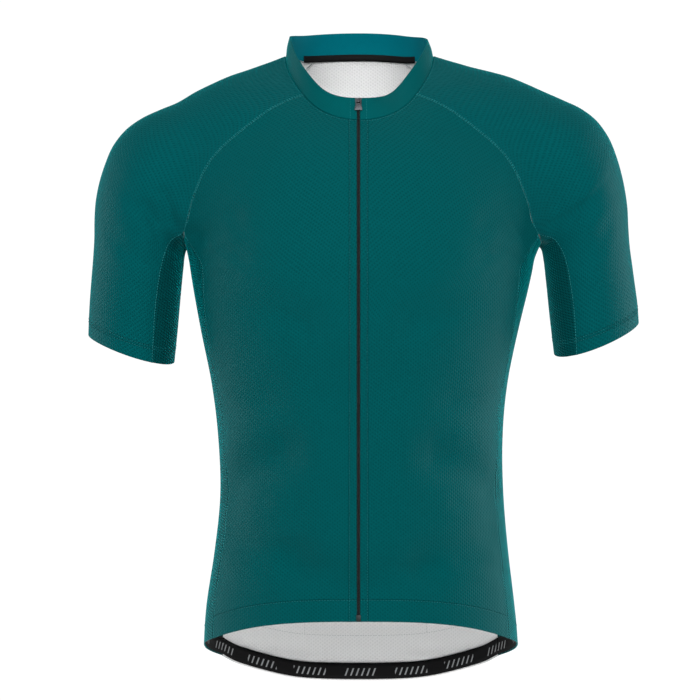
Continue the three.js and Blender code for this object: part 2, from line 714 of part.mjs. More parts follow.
// Edge of a front beside the zip, from the neck down
function zipEdge(x) {
  const top = x < ZIP.x ? neckPlace(-NECK_AT_ZIP.left) : neckPlace(NECK_AT_ZIP.right);
  const rows = RAGLAN_ROWS + SIDE_ROWS;
  const bottom = hemPlace(FRONT_CHART, FRONT_CHART.read(frontPlace(x, ZIP_FOOT))[0]);
  const edge = [];
  for (let j = 0; j <= rows; j += 1) edge.push(frontPlace(x, mix(top.z, bottom.z, j / rows)));
  return edge;
}

function frontGrid(side) {
  const sign = side === 'left' ? -1 : 1;
  const seams = SEAMS[side];
  const start = zipEdge(ZIP.x + sign * ZIP.half);
  const end = joined(seams.raglanFront, seams.sideFront);
  const run = neckRun(sign * NECK_AT_ZIP[side], sign * NECK_AT_RAGLAN_FRONT, FRONT_COLUMNS);
  const top = run.map(neckPlace);
  top[0] = start[0].clone();
  top[FRONT_COLUMNS] = end[0].clone();
  const bottom = hemRun(FRONT_CHART, start.at(-1), end.at(-1), FRONT_COLUMNS);
  const grid = panelGrid(FRONT_CHART, top, bottom, start, end);
  return clothPanel(side === 'left' ? flipped(grid) : grid, false);
}

function backGrid() {
  const start = joined(SEAMS.right.raglanBack, SEAMS.right.sideBack);
  const end = joined(SEAMS.left.raglanBack, SEAMS.left.sideBack);
  const run = neckRun(NECK_AT_RAGLAN_BACK, 2 * Math.PI - NECK_AT_RAGLAN_BACK, BACK_COLUMNS);
  const top = run.map(neckPlace);
  const bottom = hemRun(BACK_CHART, start.at(-1), end.at(-1), BACK_COLUMNS);
  return clothPanel(panelGrid(BACK_CHART, top, bottom, start, end), false);
}

function sleeveGrid(side) {
  const sign = side === 'left' ? -1 : 1;
  const seams = SEAMS[side];
  const start = joined(seams.raglanFront, seams.meshFront);
  const end = joined(seams.raglanBack, seams.meshBack);
  const run = neckRun(sign * NECK_AT_RAGLAN_FRONT, sign * NECK_AT_RAGLAN_BACK, SLEEVE_COLUMNS);
  const last = radians(CUFF_MESH_DEGREES);
  const bottom = cuffRun(side, -last, last, SLEEVE_COLUMNS);
  const grid = panelGrid(spreadChart(side), run.map(neckPlace), bottom, start, end);
  return clothPanel(side === 'left' ? flipped(grid) : grid, false);
}

function sideGrid(side) {
  const seams = SEAMS[side];
  const chart = SIDE_CHARTS[side];
  const bottom = hemRun(chart, seams.sideFront.at(-1), seams.sideBack.at(-1), SIDE_COLUMNS);
  const grid = panelGrid(chart, seams.underarm, bottom, seams.sideFront, seams.sideBack);
  return clothPanel(side === 'left' ? flipped(grid) : grid, true);
}

function meshGrid(side) {
  const seams = SEAMS[side];
  const last = radians(CUFF_MESH_DEGREES);
  const bottom = cuffRun(side, -last, last - 2 * Math.PI, SIDE_COLUMNS);
  const grid = panelGrid(MESH_CHARTS[side], seams.underarm, bottom, seams.meshFront, seams.meshBack);
  return clothPanel(side === 'left' ? grid : flipped(grid), true);
}

// Collar: a band on the neck seam, drawn as it would stand, leaning in towards the neck
function collarGrid() {
  const halves = [FRONT_COLUMNS, SLEEVE_COLUMNS, BACK_COLUMNS / 2].map((columns) => Math.round(columns / 2));
  const stops = [NECK_AT_ZIP.right, NECK_AT_RAGLAN_FRONT, NECK_AT_RAGLAN_BACK, Math.PI];
  const mirrored = [NECK_AT_ZIP.left, ...stops.slice(1)].map((angle) => 2 * Math.PI - angle);
  const right = halves.map((divisions, k) => neckRun(stops[k], stops[k + 1], divisions));
  const left = halves.map((divisions, k) => neckRun(mirrored[k + 1], mirrored[k], divisions));
  const angles = [...right, ...left.reverse()].reduce(joined);
  const base = angles.map(neckPlace);
  const last = base.length - 1;
  base[0].x = ZIP.x + ZIP.half;
  base[last].x = ZIP.x - ZIP.half;
  const grid = [];
  for (let j = 0; j <= COLLAR.rows; j += 1) {
    grid.push(
      base.map((p, i) => {
        const forward = Math.cos(angles[i]);
        const end = forward > 0 ? COLLAR.atZip : COLLAR.atBack;
        const side = angles[i] < Math.PI ? COLLAR.atRight : COLLAR.atLeft;
        const share = forward > 0 ? forward ** 2 : 1 - (1 + forward) ** 2;
        const quarter = forward > 0 ? 4 * share * (1 - share) : 0;
        const lean = radians(mix(side.lean, end.lean, share) + side.quarterLean * quarter);
        const along = base[Math.min(i + 1, last)].clone().sub(base[Math.max(i - 1, 0)]);
        if (i === 0 || i === last) along.set(1, 0, 0);
        along.normalize();
        const inwards = vector(-p.x, -p.y, 0).normalize();
        const up = inwards.clone().multiplyScalar(Math.sin(lean));
        up.z = Math.cos(lean);
        up.addScaledVector(along, -up.dot(along)).normalize();
        const t = 1 - j / COLLAR.rows;
        const bow = COLLAR.bow * (forward > 0 ? 1 - share : 1) * 4 * t * (1 - t);
        const rise = COLLAR.lift + (mix(side.high, end.high, share) - side.quarterDip * quarter) * t;
        return p.clone().addScaledVector(up, rise).addScaledVector(inwards, -bow);
      }),
    );
  }
  return grid;
}

function bandPanel(outer) {
  const normals = outer.map((row, j) => row.map((p, i) => facing(outer, j, i)));
  for (const row of normals) {
    for (const n of [row[0], row.at(-1)]) n.setX(0).normalize();
  }
  return { outer, normals, inner: moveOff(outer, normals, () => -CLOTH) };
}

const PANELS = {
  front_left: frontGrid('left'),
  front_right: frontGrid('right'),
  back: backGrid(),
  sleeve_left: sleeveGrid('left'),
  sleeve_right: sleeveGrid('right'),
  side_left: sideGrid('left'),
  side_right: sideGrid('right'),
  underarm_left: meshGrid('left'),
  underarm_right: meshGrid('right'),
  collar: bandPanel(collarGrid()),
};

// A place on one face of a panel, between two of its rows or two of its columns
function facePlace(panel, face, j, i) {
  const [j0, i0] = [Math.floor(j), Math.floor(i)];
  const j1 = Math.min(j0 + 1, panel.outer.length - 1);
  const i1 = Math.min(i0 + 1, panel.outer[0].length - 1);
  const between = (grid) => {
    const upper = grid[j0][i0].clone().lerp(grid[j0][i1], i - i0);
    const lower = grid[j1][i0].clone().lerp(grid[j1][i1], i - i0);
    return upper.lerp(lower, j - j0);
  };
  return { point: between(panel[face]), normal: between(panel.normals).normalize() };
}

// Row at which a column has come so far up from its lower edge
function rowAbove(panel, face, i, distance) {
  const grid = panel[face];
  let left = distance;
  for (let j = grid.length - 1; j > 0; j -= 1) {
    const step = grid[j][i].distanceTo(grid[j - 1][i]);
    if (left <= step) return j - left / step;
    left -= step;
  }
  return 0;
}

// Column at which a row has come so far in from its first or last edge
function columnIn(panel, face, j, distance, fromLast) {
  const row = panel[face][j];
  const last = row.length - 1;
  let left = distance;
  for (let k = 0; k < last; k += 1) {
    const [near, far] = fromLast ? [last - k, last - k - 1] : [k, k + 1];
    const step = row[near].distanceTo(row[far]);
    if (left <= step) return near + ((far - near) * left) / step;
    left -= step;
  }
  return fromLast ? 0 : last;
}

const offPlace = ({ point, normal }, distance) => point.clone().addScaledVector(normal, distance);

// Wall that lies on places of a face, so far off it and so thick, outwards if more than zero
function layerOn(places, off, thick) {
  const near = places.map((row) => row.map((place) => offPlace(place, off)));
  const far = places.map((row) => row.map((place) => offPlace(place, off + thick)));
  return thick > 0 ? wallBetween(far, near) : wallBetween(near, far);
}

// Neck tape: over the collar seam, inside the back of the neck
function neckTape() {
  const { collar } = PANELS;
  const columns = [];
  collar.outer.at(-1).forEach((p, i) => {
    if (p.y > 0 && Math.abs(p.x) < NECK_TAPE.half) columns.push(i);
  });
  const line = (high) =>
    columns.map((i) => facePlace(collar, 'inner', rowAbove(collar, 'inner', i, high), i));
  return layerOn([line(NECK_TAPE.high), line(NECK_TAPE.low)], -LAY_GAP, -NECK_TAPE.thick);
}

const countUp = (first, last) => Array.from({ length: last - first + 1 }, (_, k) => first + k);

// Gripper: from the front edge of one side panel, round the back, to that of the other
function gripper() {
  const runs = [
    [PANELS.side_right, countUp(0, SIDE_COLUMNS - 1)],
    [PANELS.back, countUp(0, BACK_COLUMNS)],
    [PANELS.side_left, countUp(1, SIDE_COLUMNS)],
  ];
  const line = (high) =>
    runs.flatMap(([panel, columns]) =>
      columns.map((i) => facePlace(panel, 'inner', rowAbove(panel, 'inner', i, high), i)),
    );
  return layerOn([line(GRIPPER.high), line(GRIPPER.low)], -LAY_GAP, -GRIPPER.thick);
}

// Rear pockets: one wall over the back, held down along its seams and standing off at the mouths
function pockets() {
  const { seams, topRow, bottomRow } = POCKETS;
  const grids = [LAY_GAP, LAY_GAP + POCKETS.thick].map((lowest) => {
    const rows = [];
    for (let j = topRow; j <= bottomRow; j += 1) {
      const row = [];
      for (let i = seams[0]; i <= seams.at(-1); i += 1) {
        const k = Math.max(seams.findIndex((seam) => seam > i) - 1, 0);
        const across = i === seams.at(-1) ? 0 : (i - seams[k]) / (seams[k + 1] - seams[k]);
        const up = (bottomRow - j) / (bottomRow - topRow);
        const swell = POCKETS.swell * Math.sin(Math.PI * across) ** 2 * soften(up);
        row.push(offPlace(facePlace(PANELS.back, 'outer', j, i), lowest + swell));
      }
      rows.push(row);
    }
    return rows;
  });
  return wallBetween(grids[1], grids[0]);
}

// Edges of both fronts and both collar ends beside the zip, from the top down
const ZIP_ROWS = [
  ...PANELS.collar.outer.map((row, j) => ({ j, left: PANELS.collar, right: PANELS.collar })),
  ...PANELS.front_left.outer.map((row, j) => ({
    j,
    left: PANELS.front_left,
    right: PANELS.front_right,
  })),
];

// The same rows, stopping a little above the hem
function zipRows(aboveHem) {
  const { front_right: front } = PANELS;
  const stop = rowAbove(front, 'outer', 0, aboveHem);
  const whole = ZIP_ROWS.slice(0, COLLAR.rows + 1 + Math.ceil(stop));
  return [...whole, { j: stop, left: PANELS.front_left, right: front }];
}

function zipTape(side) {
  const sign = side === 'left' ? -1 : 1;
  const places = zipRows(ZIP_TAPE.aboveHem).map(({ j, [side]: panel }) => {
    const last = panel.outer[0].length - 1;
    const edge = facePlace(panel, 'inner', j, side === 'left' ? last : 0);
    const row = Math.round(j);
    const column = columnIn(panel, 'inner', row, ZIP_TAPE.outer - ZIP.half, side === 'left');
    const outer = facePlace(panel, 'inner', j, column);
    edge.point.x = ZIP.x + sign * ZIP_TAPE.inner;
    return side === 'left' ? [outer, edge] : [edge, outer];
  });
  return layerOn(places, -LAY_GAP, -ZIP_TAPE.thick);
}

// Places on the zip's own line, level with the face of the cloth
function zipLine(j, left, right) {
  const a = facePlace(left, 'outer', j, left.outer[0].length - 1);
  const b = facePlace(right, 'outer', j, 0);
  const point = a.point.lerp(b.point, 0.5);
  const normal = a.normal.add(b.normal).setX(0).normalize();
  return { point, normal };
}

function zipStrip(rows, half, front, thick) {
  const places = rows.map(({ j, left, right }) =>
    [-half, half].map((x) => {
      const { point, normal } = zipLine(j, left, right);
      return { point: point.setX(ZIP.x + x), normal };
    }),
  );
  return layerOn(places, front, -thick);
}

function zipBox() {
  const { front_left: left, front_right: right } = PANELS;
  const rows = [ZIP_BOX.high, ZIP_BOX.low].map((above) => ({
    j: rowAbove(right, 'outer', 0, above),
    left,
    right,
  }));
  return zipStrip(rows, ZIP_BOX.half, ZIP_BOX.proud, ZIP_BOX.thick);
}

// Solid of a geometry, for joining
function solidOf(geometry) {
  const merged = geometry.clone();
  merged.deleteAttribute('normal');
  merged.deleteAttribute('uv');
  const welded = mergeVertices(merged);
  const vertProperties = new Float32Array(welded.attributes.position.array);
  const triVerts = new Uint32Array(welded.index.array);
  return new wasm.Manifold(new wasm.Mesh({ numProp: 3, vertProperties, triVerts }));
}

function geometryOf(solid) {
  const { vertProperties, triVerts } = solid.getMesh();
  const geometry = new THREE.BufferGeometry();
  geometry.setAttribute('position', new THREE.Float32BufferAttribute(vertProperties, 3));
  geometry.setIndex([...triVerts]);
  geometry.computeVertexNormals();
  return geometry;
}

// Flat shape through a few corners, each rounded by the same radius
function roundedShape(corners, radius) {
  const shape = new THREE.Shape();
  const count = corners.length;
  corners.forEach(([x, y], k) => {
    const corner = new THREE.Vector2(x, y);
    const before = new THREE.Vector2(...corners[(k + count - 1) % count]).sub(corner).setLength(radius);
    const after = new THREE.Vector2(...corners[(k + 1) % count]).sub(corner).setLength(radius);
    const enter = corner.clone().add(before);
    const leave = corner.clone().add(after);
    if (k === 0) shape.moveTo(enter.x, enter.y);
    else shape.lineTo(enter.x, enter.y);
    shape.quadraticCurveTo(x, y, leave.x, leave.y);
  });
  shape.closePath();
  return shape;
}

function boxHole(low, high) {
  const hole = new THREE.Path();
  hole.moveTo(low[0], low[1]);
  hole.lineTo(low[0], high[1]);
  hole.lineTo(high[0], high[1]);
  hole.lineTo(high[0], low[1]);
  hole.closePath();
  return hole;
}

// Extrudes a shape drawn across and up, from one distance out of the collar to another
function extrudeOut(shape, near, far) {
  const settings = { depth: far - near, bevelEnabled: false, curveSegments: 4 };
  const geometry = new THREE.ExtrudeGeometry(shape, settings);
  return geometry.rotateX(Math.PI / 2).translate(0, -near, 0);
}

const PLATE_FRONT = SLIDER.off + SLIDER.thick;
const HINGE_OUT = PLATE_FRONT + BRIDGE.clear;

// Slider: a plate over the coil, and on it a bridge with a window for the pull's bar
function slider() {
  const { wide, narrow, top, long, corner } = SLIDER;
  const outline = [
    [-wide / 2, -top],
    [-narrow / 2, -top - long],
    [narrow / 2, -top - long],
    [wide / 2, -top],
  ];
  const plate = extrudeOut(roundedShape(outline, corner), SLIDER.off, PLATE_FRONT);
  const reach = BRIDGE.windowHalf + BRIDGE.thick;
  const foot = PLATE_FRONT - SLIDER.thick / 2;
  const crown = HINGE_OUT + BRIDGE.clear + BRIDGE.thick;
  const side = [
    [-crown, -reach],
    [-foot, -reach],
    [-foot, reach],
    [-crown, reach],
  ];
  const arch = roundedShape(side, BRIDGE.thick / 2);
  const windowLow = [-HINGE_OUT - BRIDGE.clear, -BRIDGE.windowHalf];
  arch.holes.push(boxHole(windowLow, [-PLATE_FRONT, BRIDGE.windowHalf]));
  const settings = { depth: BRIDGE.wide, bevelEnabled: false, curveSegments: 4 };
  const bridge = new THREE.ExtrudeGeometry(arch, settings);
  bridge.translate(0, 0, -BRIDGE.wide / 2);
  bridge.applyMatrix4(new THREE.Matrix4().makeBasis(vector(0, 1, 0), vector(0, 0, 1), vector(1, 0, 0)));
  bridge.translate(0, 0, -BRIDGE.down);
  return geometryOf(solidOf(plate).add(solidOf(bridge)));
}

// Pull: hangs from the bridge by the bar at its top, drawn about that bar
function pull() {
  const half = PULL.thick / 2;
  const outline = [
    [-PULL.top / 2, half],
    [-PULL.bottom / 2, -PULL.long],
    [PULL.bottom / 2, -PULL.long],
    [PULL.top / 2, half],
  ];
  const shape = roundedShape(outline, PULL.corner);
  shape.holes.push(boxHole([-PULL.hole / 2, -PULL.holeLong], [PULL.hole / 2, -half]));
  return extrudeOut(shape, -half, half);
}

const CLOTH_TEAL = new THREE.MeshStandardMaterial({ color: 0x045a5e, roughness: 0.75, metalness: 0 });
const MESH_TEAL = new THREE.MeshStandardMaterial({ color: 0x02494c, roughness: 0.8, metalness: 0 });
const COLLAR_TEAL = new THREE.MeshStandardMaterial({ color: 0x055c60, roughness: 0.6, metalness: 0 });
const BLACK_TAPE = new THREE.MeshStandardMaterial({ color: 0x0b0c0e, roughness: 0.8, metalness: 0 });
const ELASTIC = new THREE.MeshStandardMaterial({ color: 0x09090b, roughness: 0.6, metalness: 0 });
const COIL = new THREE.MeshStandardMaterial({ color: 0x0d1416, roughness: 0.45, metalness: 0 });
const GUNMETAL = new THREE.MeshStandardMaterial({ color: 0x3b3d40, roughness: 0.35, metalness: 0.9 });

const jersey = new THREE.Group();

function add(name, geometry, material, group = jersey) {
  const mesh = new THREE.Mesh(geometry, material);
  mesh.name = name;
  group.add(mesh);
}

function panelMaterial(name) {
  if (name === 'collar') return COLLAR_TEAL;
  return name.startsWith('side') || name.startsWith('underarm') ? MESH_TEAL : CLOTH_TEAL;
}

for (const [name, panel] of Object.entries(PANELS)) {
  add(name, wallBetween(panel.outer, panel.inner), panelMaterial(name));
}
add('neck_tape', neckTape(), BLACK_TAPE);
add('hem_gripper', gripper(), ELASTIC);
add('rear_pockets', pockets(), CLOTH_TEAL);
add('zip_tape_left', zipTape('left'), BLACK_TAPE);
add('zip_tape_right', zipTape('right'), BLACK_TAPE);
add('zip_coil', zipStrip(zipRows(ZIP_COIL.aboveHem), ZIP_COIL.half, -ZIP_COIL.sunk, ZIP_COIL.thick), COIL);
add('zip_box', zipBox(), COIL);

// Slider and pull stand on the collar's face at the top of the zip
const zipTop = zipLine(0, PANELS.collar, PANELS.collar).point;
const hardware = new THREE.Group();
hardware.position.set(ZIP.x, zipTop.y, zipTop.z);
hardware.rotation.x = -radians(COLLAR.atZip.lean);
add('zip_slider', slider(), GUNMETAL, hardware);
const hinge = new THREE.Group();
hinge.position.set(0, -HINGE_OUT, -BRIDGE.down);
add('zip_pull', pull(), GUNMETAL, hinge);
hardware.add(hinge);
jersey.add(hardware);

export default jersey;
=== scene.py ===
# Cycling jersey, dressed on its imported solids: knit and mesh cloth, seams and stitching, turned hems,
# zip teeth, elastic gripper and rear pockets. Metres, +Z up, front towards -Y.
import math

import bmesh
import bpy
import numpy as np
from mathutils import Matrix, Vector


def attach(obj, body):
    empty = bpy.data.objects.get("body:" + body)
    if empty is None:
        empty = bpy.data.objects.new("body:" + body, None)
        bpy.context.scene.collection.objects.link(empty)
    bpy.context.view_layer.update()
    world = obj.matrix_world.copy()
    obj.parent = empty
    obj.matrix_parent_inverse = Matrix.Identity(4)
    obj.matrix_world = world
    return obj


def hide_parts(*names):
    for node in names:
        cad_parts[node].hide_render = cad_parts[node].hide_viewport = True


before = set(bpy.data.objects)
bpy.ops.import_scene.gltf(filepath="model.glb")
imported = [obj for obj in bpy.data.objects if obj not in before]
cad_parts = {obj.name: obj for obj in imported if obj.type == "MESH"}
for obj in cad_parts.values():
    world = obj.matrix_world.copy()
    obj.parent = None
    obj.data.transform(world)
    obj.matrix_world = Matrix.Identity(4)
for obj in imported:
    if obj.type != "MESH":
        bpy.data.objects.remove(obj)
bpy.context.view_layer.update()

# Camera: level with the middle of the photograph, far enough off for its soft perspective
PHOTO_MM_PER_PIXEL = 1.1
PHOTO_PIXELS = 700
CAMERA_AT = (-0.0105, -3.2, -0.321)
SENSOR_MM = 36.0
FLOOR_Z = -0.96
FLOOR_HALF = 2.0

# Cloth
CLOTH_THICK = 0.0012
SEAM_DIP = 0.0007  # how far a panel's edge turns in at a seam
SEAM_DIP_REACH = 0.0018
SEAM_CLOSE = 0.0002  # how far sewn edges run on to meet
COLLAR_DOWN = 0.0014  # how far the collar runs down to the neck seam
ZIP_CLOSE = 0.0010  # how far the folded front edges lie over the zip
EDGE_STEPS = (0.0003, 0.0008, 0.0014, 0.0022, 0.0034)  # extra rows close to an edge
EDGE_TURN_ROWS = 5  # rows from an edge to where it no longer turns in
FRONT_HEM_DEEP = 0.0235
CUFF_DEEP = 0.0178
ZIP_FOLD_WIDE = 0.0072
POCKET_BAND_DEEP = 0.018

# Creases beyond the largest folds: from, to, half width, depth in millimetres (less than zero falls in)
CREASES = (
    {"from": (-183, -56, -206), "to": (-160, -78, -176), "half": 6.0, "depth": -2.6},
    {"from": (-180, -58, -226), "to": (-146, -88, -214), "half": 6.5, "depth": -1.8},
    {"from": (-176, -62, -246), "to": (-138, -92, -246), "half": 8.0, "depth": -1.1},
    {"from": (186, -56, -206), "to": (164, -78, -176), "half": 6.0, "depth": -2.5},
    {"from": (184, -58, -228), "to": (150, -88, -216), "half": 6.5, "depth": -1.7},
    {"from": (180, -60, -248), "to": (142, -92, -250), "half": 8.0, "depth": -1.0},
    {"from": (-199, -46, -196), "to": (-212, -54, -150), "half": 5.5, "depth": -3.0},
    {"from": (-214, -46, -200), "to": (-232, -52, -164), "half": 6.0, "depth": -2.2},
    {"from": (-224, -46, -232), "to": (-256, -44, -214), "half": 7.0, "depth": -1.2},
    {"from": (203, -46, -192), "to": (217, -54, -150), "half": 5.5, "depth": -2.9},
    {"from": (218, -46, -200), "to": (238, -52, -166), "half": 6.0, "depth": -2.1},
    {"from": (228, -46, -234), "to": (262, -44, -216), "half": 7.0, "depth": -1.1},
    {"from": (-196, -36, -204), "to": (-210, -38, -256), "half": 4.0, "depth": -3.0},
    {"from": (-203, -44, -212), "to": (-222, -42, -280), "half": 4.0, "depth": -1.6},
    {"from": (200, -38, -198), "to": (216, -40, -250), "half": 4.0, "depth": -3.0},
    {"from": (208, -46, -208), "to": (228, -44, -276), "half": 4.0, "depth": -1.6},
    {"from": (-188, -36, -214), "to": (-180, -42, -262), "half": 4.5, "depth": -2.2},
    {"from": (192, -38, -216), "to": (184, -44, -264), "half": 4.5, "depth": -2.2},
    {"from": (-150, -52, -566), "to": (-104, -84, -556), "half": 8.0, "depth": -1.5},
    {"from": (-154, -50, -536), "to": (-116, -80, -530), "half": 7.0, "depth": -1.2},
    {"from": (-144, -56, -498), "to": (-104, -88, -484), "half": 9.0, "depth": -1.4},
    {"from": (154, -52, -560), "to": (108, -84, -550), "half": 8.0, "depth": -1.3},
    {"from": (150, -54, -500), "to": (106, -88, -486), "half": 9.0, "depth": -1.3},
    {"from": (-152, 46, -496), "to": (-104, 78, -488), "half": 9.0, "depth": -1.4},
    {"from": (150, 50, -430), "to": (96, 78, -444), "half": 8.0, "depth": -1.4},
    {"from": (-148, 52, -428), "to": (-92, 80, -440), "half": 8.0, "depth": -1.4},
    {"from": (-178, 72, -214), "to": (-148, 92, -190), "half": 6.5, "depth": -2.2},
    {"from": (180, 72, -216), "to": (150, 92, -192), "half": 6.5, "depth": -2.0},
    {"from": (-208, 64, -200), "to": (-232, 66, -168), "half": 6.0, "depth": -2.2},
    {"from": (214, 64, -202), "to": (238, 66, -170), "half": 6.0, "depth": -2.0},
    {"from": (-196, 44, -206), "to": (-208, 42, -262), "half": 4.5, "depth": -2.2},
    {"from": (200, 44, -206), "to": (214, 42, -262), "half": 4.5, "depth": -2.0},
    {"from": (-186, 40, -216), "to": (-178, 44, -262), "half": 5.0, "depth": -1.6},
    {"from": (190, 40, -216), "to": (182, 44, -262), "half": 5.0, "depth": -1.6},
    {"from": (-128, 84, -652), "to": (-66, 106, -660), "half": 4.5, "depth": 1.2},
    {"from": (-112, 92, -668), "to": (-50, 110, -672), "half": 4.0, "depth": -1.0},
    {"from": (126, 84, -652), "to": (70, 106, -662), "half": 4.5, "depth": 1.1},
    {"from": (108, 92, -668), "to": (56, 110, -670), "half": 4.0, "depth": -0.9},
)

# Stitches: length, half width, and how far from one to the next
STITCH = {"long": 0.0021, "half": 0.00026, "pitch": 0.0029}
THREAD_SIDES = 6

# Zip teeth
TEETH = {"pitch": 0.0015, "long": 0.0027, "half": 0.00056, "deep": 0.0006, "off": 0.00095, "sunk": 0.0009,
         "from_top": 0.003, "from_hem": 0.008}


# Outer face of a cloth wall, read from its solid

TUBES = (
    ("front_left", "front_right", "back", "side_left", "side_right", "rear_pockets"),
    ("sleeve_left", "underarm_left"),
    ("sleeve_right", "underarm_right"),
    ("collar",),
)


def join_close(mesh_object):
    """A solid's mesh with its loose triangles joined."""
    joined = bmesh.new()
    joined.from_mesh(mesh_object.data)
    bmesh.ops.remove_doubles(joined, verts=joined.verts, dist=1e-6)
    return joined


def islands(mesh):
    """Groups of vertices that edges join."""
    left = set(mesh.verts)
    groups = []
    while left:
        group = {left.pop()}
        border = list(group)
        while border:
            near = {e.other_vert(v) for v in border for e in v.link_edges} & left
            left -= near
            group |= near
            border = list(near)
        groups.append(group)
    return groups


def tube_middle(node):
    """Middle of the body, sleeve or collar that a panel is a part of."""
    tube = next(nodes for nodes in TUBES if node in nodes)
    places = [v.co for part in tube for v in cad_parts[part].data.vertices]
    return sum(places, Vector()) / len(places)


def outward_share(group, middle):
    """How much a group's faces look away from the middle."""
    faces = {f for v in group for f in v.link_faces}
    return sum(f.calc_area() * f.normal.dot(f.calc_center_median() - middle) for f in faces)


def cloth_rows(node, rim=0.0021):
    """Rows of places on a wall's outer face, from its upper edge down: down x along faces outwards."""
    wall = join_close(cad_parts[node])
    thin = [f for f in wall.faces if min(e.calc_length() for e in f.edges) < rim]
    bmesh.ops.delete(wall, geom=thin, context="FACES")
    wall.normal_update()
    middle = tube_middle(node)
    outer = max(islands(wall), key=lambda group: outward_share(group, middle))
    corner = next(v for v in outer if len(v.link_edges) == 3 and v.is_boundary)
    first, second = [e.other_vert(corner) for e in corner.link_edges if e.is_boundary]
    turn = (first.co - corner.co).cross(second.co - corner.co).dot(corner.normal)
    down, along = (first, second) if turn > 0 else (second, first)
    places = np.array([[v.co[:] for v in row] for row in walk_rows(corner, down, along)])
    wall.free()
    return highest_first(places)


def highest_first(places):
    """The same places, turned a quarter at a time until the highest edge is the first row."""
    turned = [places, places[:, ::-1].swapaxes(0, 1), places[::-1, ::-1], places.swapaxes(0, 1)[:, ::-1]]
    return max(turned, key=lambda rows: rows[0, :, 2].mean())


def walk_rows(corner, down, along):
    row = [corner, along]
    while len(row[-1].link_edges) != 2:
        edges = [e for e in row[-1].link_edges if e.is_boundary]
        row.append(next(v for v in (e.other_vert(row[-1]) for e in edges) if v is not row[-2]))
    rows = [row]
    seen = set(row)
    first = down
    while first is not None:
        below = [first]
        for left, right in zip(row, row[1:]):
            shared = {e.other_vert(left) for e in left.link_edges}
            shared &= {e.other_vert(right) for e in right.link_edges}
            below.append((shared - seen - set(below)).pop())
        rows.append(below)
        seen |= set(below)
        row = below
        onward = [e.other_vert(row[0]) for e in row[0].link_edges if e.is_boundary]
        onward = [v for v in onward if v not in seen]
        first = onward[0] if onward else None
    return rows


# Finer grids

def through(places, at):
    """A smooth curve through places along the first axis, read at fractions of its steps."""
    last = len(places) - 1
    whole = np.concatenate([2 * places[:1] - places[1:2], places, 2 * places[-1:] - places[-2:-1]])
    k = np.clip(np.floor(at).astype(int), 0, last - 1)
    t = (at - k).reshape((-1,) + (1,) * (places.ndim - 1))
    a, b, c, d = (whole[k + n] for n in range(4))
    return 0.5 * (2 * b + (c - a) * t + (2 * a - 5 * b + 4 * c - d) * t**2 + (3 * b - a - 3 * c + d) * t**3)


def steps(places, each):
    """Fractions of steps at which a grid is read: so many in each step, and more close to both ends."""
    last = len(places) - 1
    inside = np.linspace(0, last, last * each + 1)
    reach = [np.linalg.norm(places[1] - places[0], axis=-1).mean(),
             np.linalg.norm(places[-1] - places[-2], axis=-1).mean()]
    near = np.array([0.0] + [e / reach[0] for e in EDGE_STEPS])
    far = last - np.array([0.0] + [e / reach[1] for e in EDGE_STEPS])
    clear_low = near[-1] + 0.4 / each
    clear_high = far[-1] - 0.4 / each
    kept = inside[(inside > clear_low) & (inside < clear_high)]
    return np.concatenate([near, kept, far[::-1]])


def refine(places, each_down, each_along):
    """A finer grid on the same surface, and where its rows and columns lie in the coarse one."""
    down = steps(places, each_down)
    along = steps(places.swapaxes(0, 1), each_along)
    fine = through(through(places, down).swapaxes(0, 1), along).swapaxes(0, 1)
    return fine, down, along


def facing(grid):
    """Outward direction at each place of a grid."""
    down = np.gradient(grid, axis=0)
    along = np.gradient(grid, axis=1)
    normal = np.cross(down, along)
    return normal / np.linalg.norm(normal, axis=-1, keepdims=True)


def run_along(grid, axis, keep=(0, 1, 2)):
    """Length run from the start of each row or column, of some of the coordinates."""
    step = np.linalg.norm(np.diff(grid[..., list(keep)], axis=axis), axis=-1)
    start = np.zeros_like(np.take(step, [0], axis=axis))
    return np.concatenate([start, np.cumsum(step, axis=axis)], axis=axis)


def crease_rise(grid):
    """How far the creases move the cloth outwards at each place."""
    rise = np.zeros(grid.shape[:-1])
    for crease in CREASES:
        a = np.array(crease["from"]) * 0.001
        line = np.array(crease["to"]) * 0.001 - a
        t = np.clip(((grid - a) @ line) / (line @ line), 0, 1)
        away = np.linalg.norm(grid - a - t[..., None] * line, axis=-1)
        rise += crease["depth"] * 0.001 * np.exp(-((away / (crease["half"] * 0.001)) ** 2))
    return rise


def line_near(panel, edge, distance, offset=0.0):
    """Places and normals along a panel at a distance from one of its edges, beyond it if less than zero."""
    grid, normals, away = panel["grid"], panel["normals"], panel["distances"][edge]
    if edge in ("first", "last"):
        grid, normals, away = grid.swapaxes(0, 1), normals.swapaxes(0, 1), away.T
    if edge in ("bottom", "last"):
        grid, normals, away = grid[::-1], normals[::-1], away[::-1]
    lines = np.arange(grid.shape[1])
    at = np.array([np.interp(distance, away[:, i], np.arange(len(away))) for i in lines])
    low = np.clip(at.astype(int), 0, len(away) - 2)
    t = (at - low)[:, None]
    places = grid[low, lines] * (1 - t) + grid[low + 1, lines] * t
    facing_out = normals[low, lines] * (1 - t) + normals[low + 1, lines] * t
    facing_out /= np.linalg.norm(facing_out, axis=1, keepdims=True)
    if distance < 0:
        onward = grid[0] - grid[EDGE_TURN_ROWS]
        places = places - distance * onward / np.linalg.norm(onward, axis=1, keepdims=True)
    return places + facing_out * offset, facing_out


def band_near(panel, edge, distances, offsets):
    """A strip of places along an edge, a row for each distance and offset."""
    return np.stack([line_near(panel, edge, d, o)[0] for d, o in zip(distances, offsets)])


